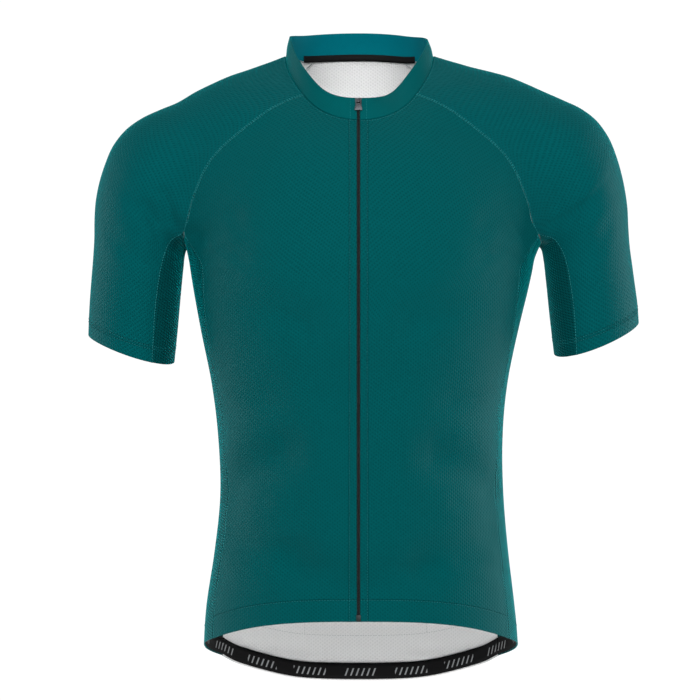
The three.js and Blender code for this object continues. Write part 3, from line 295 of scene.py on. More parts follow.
def edge_distances(grid):
    """Distance of each place from the top, bottom, first and last edge, along the cloth."""
    down = run_along(grid, 0)
    along = run_along(grid, 1)
    return {"top": down, "bottom": down[-1:] - down, "first": along, "last": along[:, -1:] - along}


def turned_in(distances, sewn, dip=SEAM_DIP, reach=SEAM_DIP_REACH):
    """How far the cloth turns in beside the sewn edges."""
    if not sewn:
        return np.zeros_like(distances["top"])
    near = np.min([distances[edge] for edge in sewn], axis=0)
    return dip * np.clip(1 - near / reach, 0, 1) ** 2


# Meshes

def sheet_mesh(name, grid, uv_maps, materials):
    """A sheet of cloth with a place for each row and column."""
    rows, columns = grid.shape[:2]
    made = bmesh.new()
    bmesh.ops.create_grid(made, x_segments=columns - 1, y_segments=rows - 1, size=1.0)
    mesh = bpy.data.meshes.new(name)
    made.to_mesh(mesh)
    made.free()
    flat = np.zeros(len(mesh.vertices) * 3)
    mesh.vertices.foreach_get("co", flat)
    flat = flat.reshape(-1, 3)
    i = np.rint((flat[:, 0] + 1) / 2 * (columns - 1)).astype(int)
    j = rows - 1 - np.rint((flat[:, 1] + 1) / 2 * (rows - 1)).astype(int)
    mesh.vertices.foreach_set("co", grid[j, i].ravel())
    corner = np.zeros(len(mesh.loops), int)
    mesh.loops.foreach_get("vertex_index", corner)
    for map_name, uv in uv_maps.items():
        layer = mesh.uv_layers.new(name=map_name)
        layer.data.foreach_set("uv", uv[j, i][corner].astype(np.float32).ravel())
    mesh.polygons.foreach_set("use_smooth", [True] * len(mesh.polygons))
    for material in materials:
        mesh.materials.append(material)
    mesh.update()
    piece = bpy.data.objects.new(name, mesh)
    bpy.context.scene.collection.objects.link(piece)
    return piece


def thicken(piece, thick, inner_slot=0, rim_slot=0, offset=-1.0):
    wall = piece.modifiers.new("Wall", "SOLIDIFY")
    wall.thickness = thick
    wall.offset = offset
    wall.use_even_offset = False
    wall.material_offset = inner_slot
    wall.material_offset_rim = rim_slot


def dress(piece, body, slot, *nodes):
    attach(piece, body)
    if nodes:
        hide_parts(*nodes)


def many(name, template, places, basis, material):
    """One mesh of many copies of a small template, each at a place in its own directions."""
    points = np.array([v.co[:] for v in template.verts])
    faces = [[v.index for v in f.verts] for f in template.faces]
    count = len(places)
    moved = np.einsum("kab,nb->kna", basis, points) + places[:, None, :]
    sizes = np.tile([len(f) for f in faces], count)
    corners = np.concatenate([np.array(f) for f in faces])
    loops = np.concatenate([corners + k * len(points) for k in range(count)])
    mesh = bpy.data.meshes.new(name)
    mesh.vertices.add(count * len(points))
    mesh.vertices.foreach_set("co", moved.ravel())
    mesh.loops.add(len(loops))
    mesh.loops.foreach_set("vertex_index", loops)
    mesh.polygons.add(len(sizes))
    mesh.polygons.foreach_set("loop_start", np.concatenate([[0], np.cumsum(sizes)[:-1]]))
    mesh.polygons.foreach_set("use_smooth", [True] * len(sizes))
    mesh.update(calc_edges=True)
    mesh.validate()
    mesh.materials.append(material)
    piece = bpy.data.objects.new(name, mesh)
    bpy.context.scene.collection.objects.link(piece)
    return piece


def bead(long, half, deep=None):
    """A small rounded bead, lying along X."""
    made = bmesh.new()
    bmesh.ops.create_uvsphere(made, u_segments=THREAD_SIDES, v_segments=5, radius=1.0)
    bmesh.ops.rotate(made, verts=made.verts, cent=(0, 0, 0), matrix=Matrix.Rotation(math.pi / 2, 3, "Y"))
    bmesh.ops.scale(made, verts=made.verts, vec=(long / 2, half, deep or half))
    made.verts.index_update()
    return made


def along_line(line, pitch):
    """Evenly spaced places on a line of places, and where they lie as fractions of its steps."""
    run = np.concatenate([[0], np.cumsum(np.linalg.norm(np.diff(line, axis=0), axis=1))])
    count = max(int(run[-1] / pitch), 2)
    at = (np.arange(count) + 0.5) * run[-1] / count
    return np.interp(at, run, np.arange(len(line)))


def read_line(values, at):
    k = np.clip(at.astype(int), 0, len(values) - 2)
    t = (at - k)[:, None]
    return values[k] * (1 - t) + values[k + 1] * t


def directions(line, normals, at):
    """For each place: along the line, across it, and outwards."""
    k = np.clip(at.astype(int), 0, len(line) - 2)
    along = line[k + 1] - line[k]
    along /= np.linalg.norm(along, axis=1, keepdims=True)
    out = read_line(normals, at)
    out -= (out * along).sum(1, keepdims=True) * along
    out /= np.linalg.norm(out, axis=1, keepdims=True)
    return np.stack([along, np.cross(out, along), out], axis=2)


def stitched(lines, lift=0.0):
    """Places and directions of a row of stitches on each line of places and normals."""
    places, basis = [], []
    for line, normals in lines:
        at = along_line(line, STITCH["pitch"])
        out = directions(line, normals, at)
        places.append(read_line(line, at) + out[:, :, 2] * lift)
        basis.append(out)
    return np.concatenate(places), np.concatenate(basis)


# Materials

def new_group(name, inputs, outputs):
    group = bpy.data.node_groups.new(name, "ShaderNodeTree")
    for label, kind, value in inputs:
        socket = group.interface.new_socket(name=label, in_out="INPUT", socket_type=kind)
        if value is not None:
            socket.default_value = value
    for label, kind in outputs:
        group.interface.new_socket(name=label, in_out="OUTPUT", socket_type=kind)
    enter = group.nodes.new("NodeGroupInput")
    leave = group.nodes.new("NodeGroupOutput")
    return group, enter, leave


def math_node(tree, operation, a, b=None, c=None, clamp=False):
    node = tree.nodes.new("ShaderNodeMath")
    node.operation = operation
    node.use_clamp = clamp
    for socket, value in zip(node.inputs, (a, b, c)):
        if value is None:
            continue
        if isinstance(value, (int, float)):
            socket.default_value = value
        else:
            tree.links.new(value, socket)
    return node.outputs[0]


def wave_node(tree, turns):
    """A wave with one crest for each whole turn."""
    return math_node(tree, "COSINE", math_node(tree, "MULTIPLY", turns, 2 * math.pi))


def map_node(tree, value, low, high, to_low=0.0, to_high=1.0):
    node = tree.nodes.new("ShaderNodeMapRange")
    node.interpolation_type = "SMOOTHSTEP"
    tree.links.new(value, node.inputs["Value"])
    for label, number in zip(("From Min", "From Max", "To Min", "To Max"), (low, high, to_low, to_high)):
        node.inputs[label].default_value = number
    return node.outputs[0]


def noise_node(tree, vector, scale, detail=2.0, roughness=0.5):
    node = tree.nodes.new("ShaderNodeTexNoise")
    tree.links.new(vector, node.inputs["Vector"])
    if isinstance(scale, float):
        node.inputs["Scale"].default_value = scale
    else:
        tree.links.new(scale, node.inputs["Scale"])
    node.inputs["Detail"].default_value = detail
    node.inputs["Roughness"].default_value = roughness
    return node.outputs["Fac"]


def honeycomb_group():
    """Six-sided knit: small pits in rows, each row half a step on from the last."""
    group, enter, leave = new_group(
        "Honeycomb knit",
        [("Vector", "NodeSocketVector", None), ("Across", "NodeSocketFloat", 0.0027),
         ("Up", "NodeSocketFloat", 0.0023)],
        [("Height", "NodeSocketFloat"), ("Pit", "NodeSocketFloat")],
    )
    split = group.nodes.new("ShaderNodeSeparateXYZ")
    group.links.new(enter.outputs["Vector"], split.inputs[0])
    x = math_node(group, "DIVIDE", split.outputs["X"], enter.outputs["Across"])
    y = math_node(group, "DIVIDE", split.outputs["Y"], enter.outputs["Up"])
    half_x = math_node(group, "MULTIPLY", x, 0.5)
    half_y = math_node(group, "MULTIPLY", y, 0.5)
    slants = (math_node(group, "ADD", half_x, half_y), math_node(group, "SUBTRACT", half_x, half_y))
    waves = [wave_node(group, value) for value in (x, *slants)]
    total = math_node(group, "ADD", math_node(group, "ADD", waves[0], waves[1]), waves[2])
    pit = map_node(group, total, 0.4, 2.6)
    height = map_node(group, total, -1.5, 2.4, 1.0, 0.0)
    group.links.new(pit, leave.inputs["Pit"])
    group.links.new(height, leave.inputs["Height"])
    return group


def ribbed_group():
    """Coarse mesh: slanting ribs crossed by open holes."""
    group, enter, leave = new_group(
        "Ribbed mesh",
        [("Vector", "NodeSocketVector", None), ("Rib", "NodeSocketFloat", 0.0036),
         ("Hole", "NodeSocketFloat", 0.0030)],
        [("Height", "NodeSocketFloat"), ("Pit", "NodeSocketFloat")],
    )
    split = group.nodes.new("ShaderNodeSeparateXYZ")
    group.links.new(enter.outputs["Vector"], split.inputs[0])
    x = math_node(group, "DIVIDE", split.outputs["X"], enter.outputs["Rib"])
    y = math_node(group, "DIVIDE", split.outputs["Y"], enter.outputs["Hole"])
    slant = math_node(group, "ADD", y, math_node(group, "MULTIPLY", x, 0.5))
    rib = wave_node(group, x)
    row = wave_node(group, slant)
    both = math_node(group, "ADD", math_node(group, "MULTIPLY", rib, 0.55), row)
    pit = map_node(group, both, 0.2, 1.3)
    height = map_node(group, both, -1.4, 1.2, 1.0, 0.0)
    group.links.new(pit, leave.inputs["Pit"])
    group.links.new(height, leave.inputs["Height"])
    return group


def tone_group():
    """Slow changes of shade over the cloth, and fine fibres."""
    group, enter, leave = new_group(
        "Cloth tone",
        [("Vector", "NodeSocketVector", None), ("Slow", "NodeSocketFloat", 0.08),
         ("Fine", "NodeSocketFloat", 0.12)],
        [("Shade", "NodeSocketFloat"), ("Fibre", "NodeSocketFloat")],
    )
    slow = noise_node(group, enter.outputs["Vector"], 9.0, 3.0)
    fine = noise_node(group, enter.outputs["Vector"], 900.0, 2.0, 0.6)
    slow_part = math_node(group, "MULTIPLY", math_node(group, "SUBTRACT", slow, 0.5), enter.outputs["Slow"])
    fine_part = math_node(group, "MULTIPLY", math_node(group, "SUBTRACT", fine, 0.5), enter.outputs["Fine"])
    shade = math_node(group, "ADD", math_node(group, "ADD", slow_part, fine_part), 1.0)
    group.links.new(shade, leave.inputs["Shade"])
    group.links.new(fine, leave.inputs["Fibre"])
    return group


def groove_group():
    """A narrow pressed line at a given distance from an edge, as a row of stitches leaves."""
    group, enter, leave = new_group(
        "Pressed line",
        [("Distance", "NodeSocketFloat", 0.0), ("At", "NodeSocketFloat", 0.02),
         ("Half width", "NodeSocketFloat", 0.0008)],
        [("Line", "NodeSocketFloat")],
    )
    off = math_node(group, "SUBTRACT", enter.outputs["Distance"], enter.outputs["At"])
    share = math_node(group, "DIVIDE", off, enter.outputs["Half width"])
    square = math_node(group, "MULTIPLY", share, share)
    line = math_node(group, "EXPONENT", math_node(group, "MULTIPLY", square, -1.0))
    group.links.new(line, leave.inputs["Line"])
    return group


def grain_group():
    """Fine grain of a plain finish: its shade, and its height."""
    group, enter, leave = new_group(
        "Fine grain",
        [("Vector", "NodeSocketVector", None), ("Scale", "NodeSocketFloat", 600.0),
         ("Depth", "NodeSocketFloat", 0.2)],
        [("Shade", "NodeSocketFloat"), ("Height", "NodeSocketFloat")],
    )
    fine = noise_node(group, enter.outputs["Vector"], enter.outputs["Scale"], 3.0)
    part = math_node(group, "MULTIPLY", math_node(group, "SUBTRACT", fine, 0.5), enter.outputs["Depth"])
    group.links.new(math_node(group, "ADD", part, 1.0), leave.inputs["Shade"])
    group.links.new(fine, leave.inputs["Height"])
    return group


HONEYCOMB = honeycomb_group()
RIBBED = ribbed_group()
TONE = tone_group()
PRESSED = groove_group()
GRAIN = grain_group()


SHEEN_ROUGH = 0.35  # how wide the cloth's soft shine spreads


def use_group(tree, group, **inputs):
    node = tree.nodes.new("ShaderNodeGroup")
    node.node_tree = group
    for label, value in inputs.items():
        socket = node.inputs[label.replace("_", " ")]
        if isinstance(value, (int, float)):
            socket.default_value = value
        else:
            tree.links.new(value, socket)
    return node


def new_material(name, roughness=0.7, metallic=0.0, sheen=0.0, tint=(1, 1, 1), specular=0.5):
    material = bpy.data.materials.new(name)
    material.use_nodes = True
    shader = material.node_tree.nodes["Principled BSDF"]
    shader.inputs["Roughness"].default_value = roughness
    shader.inputs["Metallic"].default_value = metallic
    shader.inputs["Specular IOR Level"].default_value = specular
    shader.inputs["Specular Tint"].default_value = (*tint, 1)
    if sheen:
        shader.inputs["Sheen Weight"].default_value = sheen
        shader.inputs["Sheen Roughness"].default_value = SHEEN_ROUGH
        shader.inputs["Sheen Tint"].default_value = (*tint, 1)
    return material, material.node_tree, shader


def shaded(tree, colour, shade):
    """A colour made lighter or darker by a shade."""
    node = tree.nodes.new("ShaderNodeVectorMath")
    node.operation = "SCALE"
    node.inputs[0].default_value = colour[:3]
    tree.links.new(shade, node.inputs["Scale"])
    return node.outputs[0]


def bumped(tree, shader, height, distance, strength=1.0):
    node = tree.nodes.new("ShaderNodeBump")
    node.inputs["Distance"].default_value = distance
    node.inputs["Strength"].default_value = strength
    tree.links.new(height, node.inputs["Height"])
    tree.links.new(node.outputs[0], shader.inputs["Normal"])


def uv_node(tree, name):
    node = tree.nodes.new("ShaderNodeUVMap")
    node.uv_map = name
    return node.outputs[0]


def knit_material(name, colour, across, up, pit_shade=0.34, lines=(), sheen=0.25, roughness=0.62,
                  group=None, sizes=("Across", "Up"), depth=0.0003, tint=(0.0, 0.70, 0.74)):
    """Cloth with a knitted pattern that follows its own threads, and pressed lines beside its edges. Its
    colour holds painted shade: darker in the knit's pits and along the pressed lines.
    """
    material, tree, shader = new_material(name, roughness=roughness, sheen=sheen, tint=tint, specular=0.16)
    knit_uv = uv_node(tree, "knit")
    pattern = use_group(tree, group or HONEYCOMB, Vector=knit_uv, **{sizes[0]: across, sizes[1]: up})
    tone = use_group(tree, TONE, Vector=knit_uv)
    # Painted shade: the colour is darker in the knit's pits, and a little lighter elsewhere to keep its
    # mean.
    painted_pit_shade = math_node(tree, "MULTIPLY", pattern.outputs["Pit"], -pit_shade)
    shade = math_node(tree, "MULTIPLY", math_node(tree, "ADD", painted_pit_shade, 1.0 + pit_shade * 0.35),
                      tone.outputs["Shade"])
    height = math_node(tree, "ADD", pattern.outputs["Height"],
                       math_node(tree, "MULTIPLY", tone.outputs["Fibre"], 0.25))
    edge = tree.nodes.new("ShaderNodeSeparateXYZ")
    tree.links.new(uv_node(tree, "edge"), edge.inputs[0])
    for axis, at in lines:
        line = use_group(tree, PRESSED, Distance=edge.outputs[axis], At=at)
        # Painted shade: the colour is darker along each pressed line.
        pressed = math_node(tree, "MULTIPLY", line.outputs["Line"], -0.35)
        shade = math_node(tree, "MULTIPLY", shade, math_node(tree, "ADD", pressed, 1.0))
        height = math_node(tree, "SUBTRACT", height, math_node(tree, "MULTIPLY", line.outputs["Line"], 1.5))
    tree.links.new(shaded(tree, colour, shade), shader.inputs["Base Color"])
    rough = math_node(tree, "MULTIPLY", pattern.outputs["Pit"], 0.2)
    rough = math_node(tree, "ADD", rough, roughness - 0.05)
    tree.links.new(rough, shader.inputs["Roughness"])
    bumped(tree, shader, height, depth)
    return material


def plain_material(name, colour, roughness=0.6, metallic=0.0, grain=600.0, depth=0.0001, shade=0.2,
                   specular=0.15):
    """Plain finish with a fine grain in its shade and surface."""
    material, tree, shader = new_material(name, roughness=roughness, metallic=metallic, specular=specular)
    place = tree.nodes.new("ShaderNodeTexCoord").outputs["Object"]
    fine = use_group(tree, GRAIN, Vector=place, Scale=grain, Depth=shade).outputs
    tree.links.new(shaded(tree, colour, fine["Shade"]), shader.inputs["Base Color"])
    rough = math_node(tree, "ADD", math_node(tree, "MULTIPLY", fine["Height"], 0.15), roughness - 0.08)
    tree.links.new(rough, shader.inputs["Roughness"])
    bumped(tree, shader, fine["Height"], depth)
    return material


TEAL = (0.0004, 0.046, 0.049)
SLEEVE_TEAL = (0.0004, 0.048, 0.052)
MESH_DARK = (0.0004, 0.030, 0.032)
COLLAR_OUT = (0.0004, 0.052, 0.055)
COLLAR_IN = (0.0006, 0.104, 0.136)
KNIT_WHITE = (0.88, 0.88, 0.88)
BLACK = (0.0022, 0.0022, 0.0026)
GREY_MARK = (0.33, 0.34, 0.35)

KNIT = {"across": 0.0026, "up": 0.0020}
SLEEVE_KNIT = {"across": 0.0028, "up": 0.0022}

MATERIALS = {
    "front": knit_material("Front knit", TEAL, **KNIT, lines=(("X", ZIP_FOLD_WIDE), ("Y", FRONT_HEM_DEEP))),
    "back": knit_material("Back knit", TEAL, **KNIT),
    "sleeve": knit_material("Sleeve knit", SLEEVE_TEAL, **SLEEVE_KNIT,
                            lines=(("Y", CUFF_DEEP), ("Y", CUFF_DEEP - 0.0032))),
    "pocket": knit_material("Pocket knit", TEAL, **KNIT, lines=(("Y", POCKET_BAND_DEEP),)),
    # Painted shade: the mesh's open holes are painted near black.
    "mesh": knit_material("Side mesh", MESH_DARK, 0.0036, 0.0031, pit_shade=0.85, sheen=0.5, roughness=0.55,
                          group=RIBBED, sizes=("Rib", "Hole"), depth=0.0006),
    "inside": knit_material("Knit inside", KNIT_WHITE, **KNIT, pit_shade=0.12, sheen=0.0, roughness=0.85,
                            tint=(1, 1, 1)),
    "collar": knit_material("Collar cloth", COLLAR_OUT, 0.0011, 0.0010, pit_shade=0.15, sheen=0.25,
                            roughness=0.5, depth=0.0001),
    "collar_inside": knit_material("Collar inside", COLLAR_IN, 0.0011, 0.0010, pit_shade=0.15, sheen=0.2,
                                   roughness=0.55, depth=0.0001),
    "tape": plain_material("Black tape", BLACK, roughness=0.75, grain=900.0),
    "thread": plain_material("Teal thread", (0.006, 0.13, 0.14), roughness=0.55, grain=1500.0),
    "white_thread": plain_material("White thread", (0.55, 0.57, 0.57), roughness=0.7, grain=1500.0),
    "seam": plain_material("Seam binding", (0.60, 0.62, 0.62), roughness=0.8, grain=1200.0),
    "seam_thread": plain_material("Pale teal thread", (0.02, 0.20, 0.21), roughness=0.55, grain=1500.0),
    "coil": plain_material("Zip coil", (0.0028, 0.006, 0.0065), roughness=0.42, grain=300.0, depth=0.00003,
                           specular=0.3),
    "metal": plain_material("Gunmetal", (0.032, 0.033, 0.036), roughness=0.34, metallic=1.0, grain=260.0,
                            depth=0.00003, shade=0.35, specular=0.5),
}


def elastic_material():
    """Black woven elastic with rows of plain grey silicone bars."""
    material, tree, shader = new_material("Gripper elastic", roughness=0.6, specular=0.15)
    split = tree.nodes.new("ShaderNodeSeparateXYZ")
    tree.links.new(uv_node(tree, "knit"), split.inputs[0])
    weave = math_node(tree, "SINE", math_node(tree, "MULTIPLY", split.outputs["Y"], 2 * math.pi / 0.0012))
    slant = math_node(tree, "ADD", split.outputs["X"], math_node(tree, "MULTIPLY", split.outputs["Y"], 0.45))
    bar = math_node(tree, "COSINE", math_node(tree, "MULTIPLY", slant, 2 * math.pi / 0.0062))
    bar = map_node(tree, bar, 0.55, 0.75)
    group = math_node(tree, "COSINE", math_node(tree, "MULTIPLY", split.outputs["X"], 2 * math.pi / 0.058))
    group = map_node(tree, group, -0.45, -0.4)
    high = math_node(tree, "ABSOLUTE", math_node(tree, "SUBTRACT", split.outputs["Y"], 0.0095))
    band = map_node(tree, high, 0.0040, 0.0044, 1.0, 0.0)
    mark = math_node(tree, "MULTIPLY", math_node(tree, "MULTIPLY", bar, group), band)
    mix = tree.nodes.new("ShaderNodeMix")
    mix.data_type = "RGBA"
    tree.links.new(mark, mix.inputs["Factor"])
    for label, shade in (("A", BLACK), ("B", GREY_MARK)):
        socket = next(s for s in mix.inputs if s.type == "RGBA" and s.name == label)
        socket.default_value = (*shade, 1)
    colour = next(s for s in mix.outputs if s.type == "RGBA")
    tree.links.new(colour, shader.inputs["Base Color"])
    height = math_node(tree, "ADD", math_node(tree, "MULTIPLY", weave, 0.3), mark)
    bumped(tree, shader, height, 0.0002)
    rough = math_node(tree, "SUBTRACT", 0.65, math_node(tree, "MULTIPLY", mark, 0.3))
    tree.links.new(rough, shader.inputs["Roughness"])
    return material


MATERIALS["elastic"] = elastic_material()


# Cloth panels

PANELS = {}


def close_edges(grid, sewn, run_on):
    """Moves the outermost places of the sewn edges on, so that neighbouring panels meet."""
    across = grid.swapaxes(0, 1)
    views = {"top": grid, "bottom": grid[::-1], "first": across, "last": across[::-1]}
    for edge in sewn:
        view = views[edge]
        onward = view[0] - view[EDGE_TURN_ROWS]
        view[0] += run_on.get(edge, SEAM_CLOSE) * onward / np.linalg.norm(onward, axis=1, keepdims=True)


def panel_grid(node, each_down, each_along, sewn, run_on):
    """Fine outer face of a panel, creased, and turned in at its sewn edges."""
    fine, down, along = refine(cloth_rows(node), each_down, each_along)
    normals = facing(fine)
    distances = edge_distances(fine)
    moved = fine + normals * (crease_rise(fine) - turned_in(distances, sewn))[..., None]
    close_edges(moved, (*sewn, *run_on), run_on)
    return {"grid": moved, "normals": facing(moved), "distances": distances, "down": down, "along": along}


def straight_uv(panel, grain):
    """Threads that run level and upright: lengths run across and up, added to the place of the hem."""
    grid = panel["grid"]
    if grain == "upright":
        across = run_along(grid, 1, (0, 1))
        up = run_along(grid, 0, (1, 2))
        up = up[-1:] - up + grid[-1:, :, 2]
    else:
        across = run_along(grid, 1)
        up = panel["distances"]["bottom"]
    across = across - across[:, across.shape[1] // 2:across.shape[1] // 2 + 1]
    return np.stack([across, up], axis=-1)


def cloth_panel(name, node, slot, materials, sewn, each=(6, 6), grain="upright", side_edge=None,
                run_on=None):
    panel = panel_grid(node, each[0], each[1], sewn, run_on or {})
    edge = panel["distances"][side_edge] if side_edge else np.full(panel["grid"].shape[:2], 1.0)
    uv = {"knit": straight_uv(panel, grain), "edge": np.stack([edge, panel["distances"]["bottom"]], axis=-1)}
    piece = sheet_mesh(name, panel["grid"], uv, materials)
    thicken(piece, CLOTH_THICK, inner_slot=len(materials) - 1)
    dress(piece, "jersey", slot, node)
    panel["piece"] = piece
    panel["sewn_on"] = []
    PANELS[node] = panel
    return piece


FRONT = [MATERIALS["front"], MATERIALS["inside"]]
BACK = [MATERIALS["back"], MATERIALS["inside"]]
SLEEVE = [MATERIALS["sleeve"], MATERIALS["inside"]]
MESH = [MATERIALS["mesh"], MATERIALS["mesh"]]
cloth_panel("front_left_cloth", "front_left", "knit_cloth", FRONT, ("top", "first"), (7, 6),
            side_edge="last", run_on={"last": ZIP_CLOSE})
cloth_panel("front_right_cloth", "front_right", "knit_cloth", FRONT, ("top", "last"), (7, 6),
            side_edge="first", run_on={"first": ZIP_CLOSE})
cloth_panel("back_cloth", "back", "knit_cloth", BACK, ("top", "first", "last"), (7, 6))
for side in ("left", "right"):
    cloth_panel(f"sleeve_{side}_cloth", f"sleeve_{side}", "knit_cloth", SLEEVE, ("top", "first", "last"),
                (6, 6), "along")
    cloth_panel(f"side_{side}_mesh", f"side_{side}", "mesh_cloth", MESH, ("top", "first", "last"),
                (8, 6), "along")
    cloth_panel(f"underarm_{side}_mesh", f"underarm_{side}", "mesh_cloth", MESH, ("top", "first", "last"),
                (7, 6), "along")
cloth_panel("collar_cloth", "collar", "collar_cloth", [MATERIALS["collar"], MATERIALS["collar_inside"]],
            (), (7, 5), "along", run_on={"bottom": COLLAR_DOWN, "first": ZIP_CLOSE, "last": ZIP_CLOSE})


# Hems, cuffs, seams and elastic, each a band that follows an edge of its panel

ZIP_EDGES = {"front_left": "last", "front_right": "first"}
SIDE_EDGES = {"front_left": "first", "front_right": "last"}


def band_piece(name, grids, across, slot, material, thick, *nodes):
    """A strip over one panel or several, with its length and width as its cloth measures."""
    grid = np.concatenate(grids, axis=1)
    run = run_along(grid, 1)
    width = np.broadcast_to(np.array(across)[:, None], run.shape)
    uv = np.stack([run, width], axis=-1)
    piece = sheet_mesh(name, grid, {"knit": uv, "edge": uv}, [material])
    thicken(piece, thick)
    dress(piece, "jersey", slot, *nodes)
    return piece, grid


def inner_band(name, node, edge, across, material, slot, thick=0.0008, gap=0.0001):
    panel = PANELS[node]
    offsets = [-CLOTH_THICK - gap] * len(across)
    piece, _ = band_piece(name, [band_near(panel, edge, across, offsets)], across, slot, material, thick)
    panel["sewn_on"].append(piece)
    return piece


HEM_ROWS = (0.0235, 0.016, 0.009, 0.0035, 0.0004)
CUFF_ROWS = (0.0182, 0.012, 0.0065, 0.0025, 0.0004)
for side in ("left", "right"):
    inner_band(f"front_{side}_hem", f"front_{side}", "bottom", HEM_ROWS, MATERIALS["back"], "knit_cloth")
    inner_band(f"sleeve_{side}_cuff", f"sleeve_{side}", "bottom", CUFF_ROWS, MATERIALS["back"], "knit_cloth")
    inner_band(f"underarm_{side}_cuff", f"underarm_{side}", "bottom", CUFF_ROWS, MATERIALS["mesh"],
               "mesh_cloth")

BINDING_STOP = 0.0245  # seam bindings end this far above the hem and cuffs
SEAM_ROWS = (-0.0024, -0.0012, 0.0, 0.0012, 0.0024)
SEAM_OFFSETS = (-0.0014, -0.0018, -0.0020, -0.0018, -0.0014)
for node, edge in (("front_left", "first"), ("front_right", "last"), ("back", "first"), ("back", "last"),
                   ("underarm_left", "first"), ("underarm_left", "last"), ("underarm_left", "top"),
                   ("underarm_right", "first"), ("underarm_right", "last"), ("underarm_right", "top")):
    binding = band_near(PANELS[node], edge, SEAM_ROWS, SEAM_OFFSETS)
    if edge != "top":
        binding = binding[:, PANELS[node]["distances"]["bottom"][:, 0] > BINDING_STOP]
    piece, _ = band_piece(f"{node}_{edge}_seam", [binding], SEAM_ROWS, "knit_cloth", MATERIALS["seam"],
                          0.0006)
    PANELS[node]["sewn_on"].append(piece)

GRIPPER_ROWS = (0.0198, 0.0150, 0.0105, 0.0060, 0.0014)
gripper, gripper_grid = band_piece(
    "hem_elastic",
    [band_near(PANELS[node], "bottom", GRIPPER_ROWS, [-CLOTH_THICK - 0.0004] * len(GRIPPER_ROWS))
     for node in ("side_right", "back", "side_left")],
    GRIPPER_ROWS, "elastic", MATERIALS["elastic"], 0.0010, "hem_gripper",
)

NECK_TAPE = {"half": 0.064, "rows": (0.0046, 0.0024, 0.0004, -0.0016), "thick": 0.0007}
collar = PANELS["collar"]
behind_neck = (collar["grid"][-1, :, 1] > 0) & (np.abs(collar["grid"][-1, :, 0]) < NECK_TAPE["half"])
neck_band = band_near(collar, "bottom", NECK_TAPE["rows"], (-0.0014, -0.0016, -0.0018, -0.0020))
neck_tape, _ = band_piece("neck_tape_woven", [neck_band[:, behind_neck]], NECK_TAPE["rows"],
                          "black_tape", MATERIALS["tape"], NECK_TAPE["thick"], "neck_tape")
collar["sewn_on"].append(neck_tape)


# Zip: woven tapes behind the front edges, and a coil of two rows of teeth

ZIP_TAPE_ROWS = (-0.0021, -0.0004, 0.0020, 0.0050, 0.0084)
ZIP_TAPE_DEEP = 0.0019
for side, collar_edge in (("left", "last"), ("right", "first")):
    front = PANELS[f"front_{side}"]
    deep = [-ZIP_TAPE_DEEP] * len(ZIP_TAPE_ROWS)
    upper = band_near(collar, collar_edge, ZIP_TAPE_ROWS, deep)
    lower = band_near(front, ZIP_EDGES[f"front_{side}"], ZIP_TAPE_ROWS, deep)
    tape, _ = band_piece(f"zip_tape_{side}_woven", [upper[:, :-2], lower[:, 2:]], ZIP_TAPE_ROWS,
                                 "black_tape", MATERIALS["tape"], 0.0006, f"zip_tape_{side}")
    front["sewn_on"].append(tape)


def zip_line():
    """Middle line of the zip, from the collar's top edge to the hem, and its outward direction."""
    upper = [line_near(collar, edge, 0.0) for edge in ("first", "last")]
    lower = [line_near(PANELS["front_right"], "first", 0.0), line_near(PANELS["front_left"], "last", 0.0)]
    parts = []
    for k in (0, 1):
        collar_part = (upper[0][k] + upper[1][k]) / 2
        front_part = (lower[0][k] + lower[1][k]) / 2
        parts.append(np.concatenate([collar_part[:-2], front_part[2:]]))
    normals = parts[1]
    normals[:, 0] = 0
    normals /= np.linalg.norm(normals, axis=1, keepdims=True)
    return parts[0], normals


def zip_teeth():
    line, normals = zip_line()
    run = np.concatenate([[0], np.cumsum(np.linalg.norm(np.diff(line, axis=0), axis=1))])
    places, basis = [], []
    for sign, shift in ((-1, 0.0), (1, 0.5)):
        marks = np.arange(TEETH["from_top"], run[-1] - TEETH["from_hem"], TEETH["pitch"])
        at = np.interp(marks + shift * TEETH["pitch"], run, np.arange(len(line)))
        out = directions(line, normals, at)
        middle = read_line(line, at) - out[:, :, 2] * TEETH["sunk"]
        places.append(middle + out[:, :, 1] * sign * TEETH["off"])
        basis.append(np.stack([out[:, :, 1], out[:, :, 0], out[:, :, 2]], axis=2))
    return np.concatenate(places), np.concatenate(basis)


teeth = many("zip_teeth", bead(TEETH["long"], TEETH["half"], TEETH["deep"]), *zip_teeth(), MATERIALS["coil"])
dress(teeth, "jersey", "zip_plastic", "zip_coil")


def eased_copy(name, node, body, slot, material, width, angle=35):
    """A hard piece with its edges eased."""
    joined = join_close(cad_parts[node])
    mesh = bpy.data.meshes.new(name)
    joined.to_mesh(mesh)
    joined.free()
    mesh.polygons.foreach_set("use_smooth", [True] * len(mesh.polygons))
    mesh.materials.append(material)
    piece = bpy.data.objects.new(name, mesh)
    bpy.context.scene.collection.objects.link(piece)
    ease = piece.modifiers.new("Eased edges", "BEVEL")
    ease.width = width
    ease.segments = 3
    ease.limit_method = "ANGLE"
    ease.angle_limit = math.radians(angle)
    ease.harden_normals = True
    dress(piece, body, slot, node)
    return piece


eased_copy("zip_stop", "zip_box", "jersey", "zip_plastic", MATERIALS["coil"], 0.0004)
eased_copy("slider_body", "zip_slider", "jersey", "zip_metal", MATERIALS["metal"], 0.00018)
eased_copy("slider_pull", "zip_pull", "pull_tab", "zip_metal", MATERIALS["metal"], 0.00018)


# Rear pockets: one panel in three, with a turned band along the mouths

